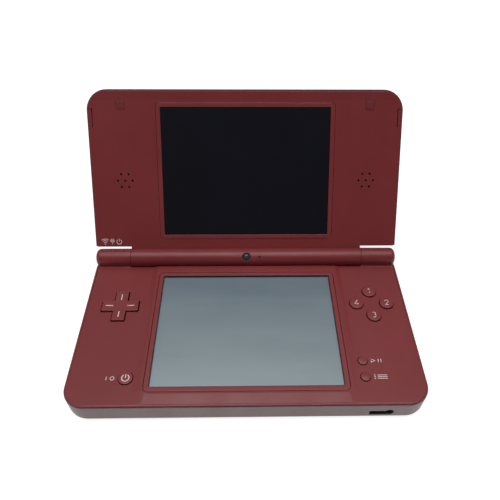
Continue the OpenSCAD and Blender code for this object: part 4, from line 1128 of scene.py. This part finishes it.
@dataclass
class DeckPrints:
    """Plain pictograms printed on the deck beside the small buttons."""

    ink_width: float = 0.32
    half: float = 0.85
    play: Flat = (3.8, 5.6)
    bars: Flat = (7.2, 8.4)
    row: Flat = (5.4, 9.8)
    bullet: float = 4.2
    bullet_radius: float = 0.28
    ring: float = -6.0
    bar: float = -8.6

    def build(self) -> None:
        """Prints the marks beside start, select and power."""
        half, (near, tip), rows = self.half, self.play, (-self.half, 0.0, self.half)
        start = [[(near, half), (near, -half), (tip, 0.0), (near, half), (near, 0.0)]]
        start += [[(x, -half), (x, half)] for x in self.bars]
        select = [[(x, y) for x in self.row] for y in rows]
        power = [arc((self.ring, 0.0), half, 0, 360, 24), [(self.bar, -half), (self.bar, half)]]
        for name, lines in (("start", start), ("select", select), ("power", power)):
            mark = drawn(lines, self.ink_width)
            if name == "select":
                mark.add(many(dot((self.bullet, y), self.bullet_radius) for y in rows))
            piece(name + "_mark", mark, LAYOUT.level(name + "_button", LAYOUT.deck), FINISH.ink, "base")


@dataclass
class EdgeControls:
    """Shoulder buttons, volume rocker, card flap and stylus."""

    edge: float = 0.2
    flap_edge: float = 0.12

    def build(self) -> None:
        """Dresses the controls round the edge of the lower half."""
        dress(FINISH.gloss, "shoulder_button_left", "shoulder_button_right", "volume_rocker", edge=self.edge)
        dress(FINISH.tub, "memory_card_flap", edge=self.flap_edge)
        dress(FINISH.gloss, "stylus")
        dress(FINISH.sheet, "shoulder_pins", "shoulder_springs")


@dataclass
class Sockets:
    """Card slots, headphone jack and charging socket with their contacts."""

    edge: float = 0.08
    card_contacts: int = 17
    card_pitch: float = 1.7
    card_inset: Flat = (3.2, 0.5)
    contact: Point = (0.7, 1.0, 5.0)
    contact_thick: float = 0.1
    spring: tuple[Flat, ...] = ((0.0, 0.0), (0.25, 0.15), (0.55, 0.8), (0.75, 1.0), (0.9, 0.8), (1.0, 0.35))
    jack_spot: Flat = (62.4, 5.9)
    jack_opening: float = 2.05
    slot_end: float = 53.6
    slot_rows: Flat = (3.85, 7.05)
    shadow_band: float = 0.22
    shadow_band_depth: float = 1.45
    shadow_band_inset: float = 0.05

    def contacts(self) -> Shape:
        """Builds the row of sprung contacts, each bent along the same path.

        Returns:
            The row.
        """
        wide, rise, length = self.contact
        row = [(i - (self.card_contacts - 1) / 2) * self.card_pitch for i in range(self.card_contacts)]
        corners = ((-wide / 2, 0.0), (wide / 2, 0.0), (wide / 2, self.contact_thick), (-wide / 2, self.contact_thick))
        return many(skinned([[(x + side, rise * h + lift, length * t) for side, lift in corners]
                             for t, h in self.spring]) for x in row)

    def jack_shadow_band(self) -> None:
        """Lays a black band of painted shadow round the inside of the headphone opening, a round hole that runs into
        a flat slot.
        """
        half, deep = self.shadow_band / 2, self.shadow_band_depth / 2
        low, high = self.slot_rows[0] + half, self.slot_rows[1] - half
        radius = self.jack_opening - half
        meet = 180 - math.degrees(math.asin((high - self.jack_spot[1]) / radius))
        end = self.slot_end + half
        path = [(end, low), (end, high), *arc(self.jack_spot, radius, meet, -90, 20), (end, low)]
        # The black band is painted shadow over the cut faces of the wall inside the opening.
        piece("headphone_opening_shadow_band", stroke(path, self.shadow_band, deep),
              LAYOUT.front().at(0, 0, -deep - self.shadow_band_inset), FINISH.shadow, "base")

    def build(self) -> None:
        """Dresses the sockets and fills the card slot with contacts."""
        self.jack_shadow_band()
        dress(FINISH.black, "game_card_socket", "memory_card_socket", "headphone_jack", edge=self.edge)
        dress(FINISH.sheet, "charging_socket")
        low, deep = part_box("game_card_socket")[0] / MM, self.card_inset
        slot = Place(Vector((middle("game_card_socket").x, low.y + deep[0], low.z + deep[1])),
                     across=Vector((-1, 0, 0)), up=Vector((0, 0, 1)), out=Vector((0, 1, 0)))
        piece("card_contacts", self.contacts(), slot, FINISH.contact, "base", smooth=50)


@dataclass
class Electronics:
    """Boards, chips, shields, battery and switches inside the lower half."""

    chip_edge: float = 0.1
    shield_edge: float = 0.15
    battery_edge: float = 0.2
    switch_edge: float = 0.08

    def build(self) -> None:
        """Dresses the inside."""
        dress(FINISH.board, "main_board")
        dress(FINISH.black, "board_chips", edge=self.chip_edge)
        dress(FINISH.sheet, "rf_shield", edge=self.shield_edge)
        dress(FINISH.sheet, "wireless_module", edge=self.chip_edge)
        dress(FINISH.battery, "battery_pack", edge=self.battery_edge)
        dress(FINISH.contact, "battery_contacts")
        dress(FINISH.sheet, "board_switches", edge=self.switch_edge)


@dataclass
class Hinge:
    """Shaft, cartridge, sleeve and display cable inside the barrel, and the status lights."""

    def build(self) -> None:
        """Dresses the hinge."""
        dress(FINISH.sheet, "hinge_cartridge", "hinge_shaft", "hinge_sleeve")
        dress(FINISH.guide, "status_light_guides")
        dress(FINISH.flex, "display_flex_cable")


@dataclass
class Lid:
    """Inner panel, outer cover, screen, cameras, speakers and pads of the lid.

    A ring of the camera is a radius with its depth under the barrel's surface, or, where it is level, with its
    height over the hinge axis.
    """

    cover_edge: float = 0.12
    edge: float = 0.2
    pad: float = 4.4
    pad_corner: float = 0.5
    pad_soft: float = 0.3
    pad_rise: float = 0.25
    pad_crown: float = 0.06
    pad_spot: Flat = (63.2, 78.6)
    barrel: float = 4.9
    eye_rim: tuple[Flat, ...] = ((2.43, 0.6), (2.43, 0.0), (2.36, -0.05), (2.24, 0.02), (2.14, 0.3), (2.14, 0.6))
    eye_floor: Flat = (2.13, 3.72)
    eye_mouth: tuple[Flat, ...] = ((2.13, 0.32), (2.02, 0.36))
    eye_throat: tuple[Flat, ...] = ((1.46, 4.12), (1.46, 3.72))
    eye_glass: tuple[Flat, ...] = ((1.3, 4.3), (1.3, 4.36), (1.1, 4.44), (0.7, 4.52), (0.3, 4.55))

    def pads(self, place: Place) -> None:
        """Builds the two soft square pads.

        Args:
            place: the lid's place.
        """
        profile = [(0.3, -0.45), (0.0, -0.4)] + fillet(self.pad_soft, self.pad_rise)
        profile += [(self.pad / 2 * k, self.pad_rise + self.pad_crown * k) for k in (0.35, 0.6, 0.85)]
        one = crowned(rounded(self.pad / 2, self.pad / 2, self.pad_corner), profile)
        both = many(Shape([(x + side.value * self.pad_spot[0], y, z) for x, y, z in one.points], one.faces)
                    for side in Side)
        piece("lid_soft_pads", both, place.at(0, self.pad_spot[1], LAYOUT.face), FINISH.pad, "lid", ["lid_pads"])

    def sunk(self, radius: float, depth: float) -> list[Point]:
        """Gives a circle at a depth under the barrel's surface."""
        return [(x, y, math.sqrt(self.barrel ** 2 - y * y) - depth) for x, y in disc(radius)(0.0)]

    def level(self, radius: float, height: float) -> list[Point]:
        """Gives a level circle at a height over the hinge axis."""
        return [(x, y, height) for x, y in disc(radius)(0.0)]

    def eye(self) -> None:
        """Builds the inner camera's thin rim, its dark cone and its lens, sunk into the barrel."""
        axis = middle("inner_camera_ring") - LAYOUT.hinge()
        out = Vector((0, axis.y, axis.z)).normalized()
        place = Place(LAYOUT.hinge() + Vector((axis.x, 0, 0)), up=Vector((0, out.z, -out.y)), out=out)
        rim = skinned([self.sunk(*ring) for ring in self.eye_rim], ring=True)
        cone = skinned([self.level(*self.eye_floor), *(self.sunk(*ring) for ring in self.eye_mouth),
                        *(self.level(*ring) for ring in self.eye_throat)], ring=True)
        glass = skinned([self.level(*ring) for ring in self.eye_glass])
        piece("inner_camera_rim", rim, place, FINISH.rim, "lid", ["inner_camera_ring"])
        piece("inner_camera_cone", cone, place, FINISH.shadow, "lid")
        piece("inner_camera_lens", glass, place, FINISH.lens, "lid")

    def build(self) -> None:
        """Dresses the lid and builds its pads and its inner camera."""
        dress(FINISH.casing, "lid_panel")
        dress(FINISH.cover, "lid_cover", edge=self.cover_edge)
        dress(FINISH.band, "upper_screen_surround", edge=self.edge)
        dress(FINISH.window, "upper_screen_window")
        dress(FINISH.rubber, "upper_screen_gasket")
        dress(FINISH.sheet, "upper_lcd")
        dress(FINISH.black, "speaker_left", "speaker_right", "inner_camera", "outer_camera", "microphone")
        dress(FINISH.lens, "outer_camera_lens")
        dress(FINISH.screw, "lid_screws")
        self.pads(LAYOUT.lid())
        self.eye()


@dataclass
class LidPrints:
    """Plain pictograms under the status lights: radio waves, plug and power."""

    along: float = 9.0
    ink_width: float = 0.34
    size: float = 1.5
    spots: Point = (-75.1, -71.3, -67.7)
    dot_radius: float = 0.3

    def build(self) -> None:
        """Prints the three pictograms, drawn two units tall."""
        waves = [arc((0.0, -1.0), k, 50, 130, 8) for k in (0.7, 1.3, 1.9)]
        plug = [[(-0.6, -0.1), (-0.6, 0.45), (0.6, 0.45), (0.6, -0.1), (-0.6, -0.1)],
                *([(x, 0.45), (x, 1.0)] for x in (-0.3, 0.3)), [(0.0, -0.1), (0.0, -1.0)]]
        power = [arc((0.0, -0.1), 0.85, 122, 418, 24), [(0.0, 0.0), (0.0, 1.0)]]
        for name, x, lines in zip(("radio", "plug", "light"), self.spots, (waves, plug, power)):
            mark = drawn(lines, self.ink_width, size=self.size)
            if name == "radio":
                mark.add(dot((0.0, -0.95 * self.size), self.dot_radius))
            piece(name + "_mark", mark, LAYOUT.lid().at(x, self.along, LAYOUT.face), FINISH.ink, "lid")


@dataclass
class Studio:
    """Floor, light and camera of the photograph.

    The sky has the strength sky, and dim low down. A lamp adds to it overhead, the room dims it towards the
    player, and a dark card stands behind the camera. Each edge field gives the cosines at which one of them starts
    and is full, seen from its own direction.
    """

    camera_place: Point = (-0.19, -142.79, 207.71)
    elevation: float = 47.564
    azimuth: float = -1.531
    roll: float = 0.858
    lens: float = 35.33
    sensor: float = 36.0
    clip: Flat = (0.01, 50.0)
    shift: Flat = (-0.0098, 0.0319)
    floor_half: float = 6000.0
    sky: float = 0.5
    dim: float = 0.45
    sky_edge: Flat = (0.1, 0.75)
    lamp: float = 5.3
    lamp_edge: Flat = (0.86, 0.985)
    room: float = 0.55
    room_way: Point = (0.33, -0.9, 0.28)
    room_edge: Flat = (0.3, 0.95)
    card: float = 0.6
    card_way: Point = (0.0, -0.834, 0.552)
    card_edge: Flat = (0.93, 0.972)

    def camera(self) -> None:
        """Sets up the camera of the photograph."""
        data = bpy.data.cameras.new("photograph")
        data.lens, data.sensor_width = self.lens, self.sensor
        data.shift_x, data.shift_y = self.shift
        data.clip_start, data.clip_end = self.clip
        seen = bpy.data.objects.new("photograph", data)
        bpy.context.scene.collection.objects.link(seen)
        low, turn, roll = (math.radians(angle) for angle in (self.elevation, self.azimuth, self.roll))
        forward = Vector((-math.sin(turn) * math.cos(low), math.cos(turn) * math.cos(low), -math.sin(low)))
        right = forward.cross(Vector((0, 0, 1))).normalized()
        up = right.cross(forward)
        c, s = math.cos(roll), math.sin(roll)
        pose = Matrix((right * c + up * s, up * c - right * s, -forward)).transposed().to_4x4()
        pose.translation = Vector(self.camera_place) * MM
        seen.matrix_world = pose
        bpy.context.scene.camera = seen

    def floor(self) -> None:
        """Lays the pale floor."""
        half = self.floor_half * MM
        mesh = bpy.data.meshes.new("studio_floor")
        mesh.from_pydata([(-half, -half, 0), (half, -half, 0), (half, half, 0), (-half, half, 0)], [], [(0, 1, 2, 3)])
        mesh.materials.append(FINISH.floor.material())
        ground = bpy.data.objects.new("studio_floor", mesh)
        bpy.context.scene.collection.objects.link(ground)

    def light(self) -> None:
        """Lights the studio from a soft sky, bright overhead, with a dark card behind the camera."""
        world = bpy.data.worlds.new("studio_sky")
        bpy.context.scene.world = world
        world.use_nodes = True
        world.node_tree.nodes.clear()
        wires = Wiring(world.node_tree)
        way = wires.node("ShaderNodeTexCoord").outputs["Generated"]
        overhead = wires.towards(way, (0.0, 0.0, 1.0))
        glow = wires.maths("ADD", wires.spread(overhead, self.dim, self.sky, *self.sky_edge),
                           wires.spread(overhead, 0.0, self.lamp, *self.lamp_edge))
        room = wires.spread(wires.towards(way, self.room_way), 1.0, self.room, *self.room_edge)
        card = wires.spread(wires.towards(way, self.card_way), 1.0, self.card, *self.card_edge)
        strength = wires.maths("MULTIPLY", wires.maths("MULTIPLY", glow, room), card)
        sky = wires.node("ShaderNodeBackground", {"Strength": strength, "Color": (1.0, 1.0, 1.0)})
        wires.node("ShaderNodeOutputWorld", {"Surface": sky.outputs[0]})

    def build(self) -> None:
        """Builds the studio."""
        self.camera()
        self.floor()
        self.light()
        bpy.context.scene.view_settings.view_transform = "Standard"


def main() -> None:
    """Builds the studio and dresses the console, sub-assembly by sub-assembly."""
    logging.basicConfig(level=logging.INFO, format="%(message)s")
    parts = (Studio(), LowerCasing(), LowerScreen(), DeckControls(), DeckPrints(), EdgeControls(), Sockets(),
             Electronics(), Hinge(), Lid(), LidPrints())
    for part in parts:
        part.build()
        LOG.info("built %s", type(part).__name__)


if __name__ == "__main__":
    main()
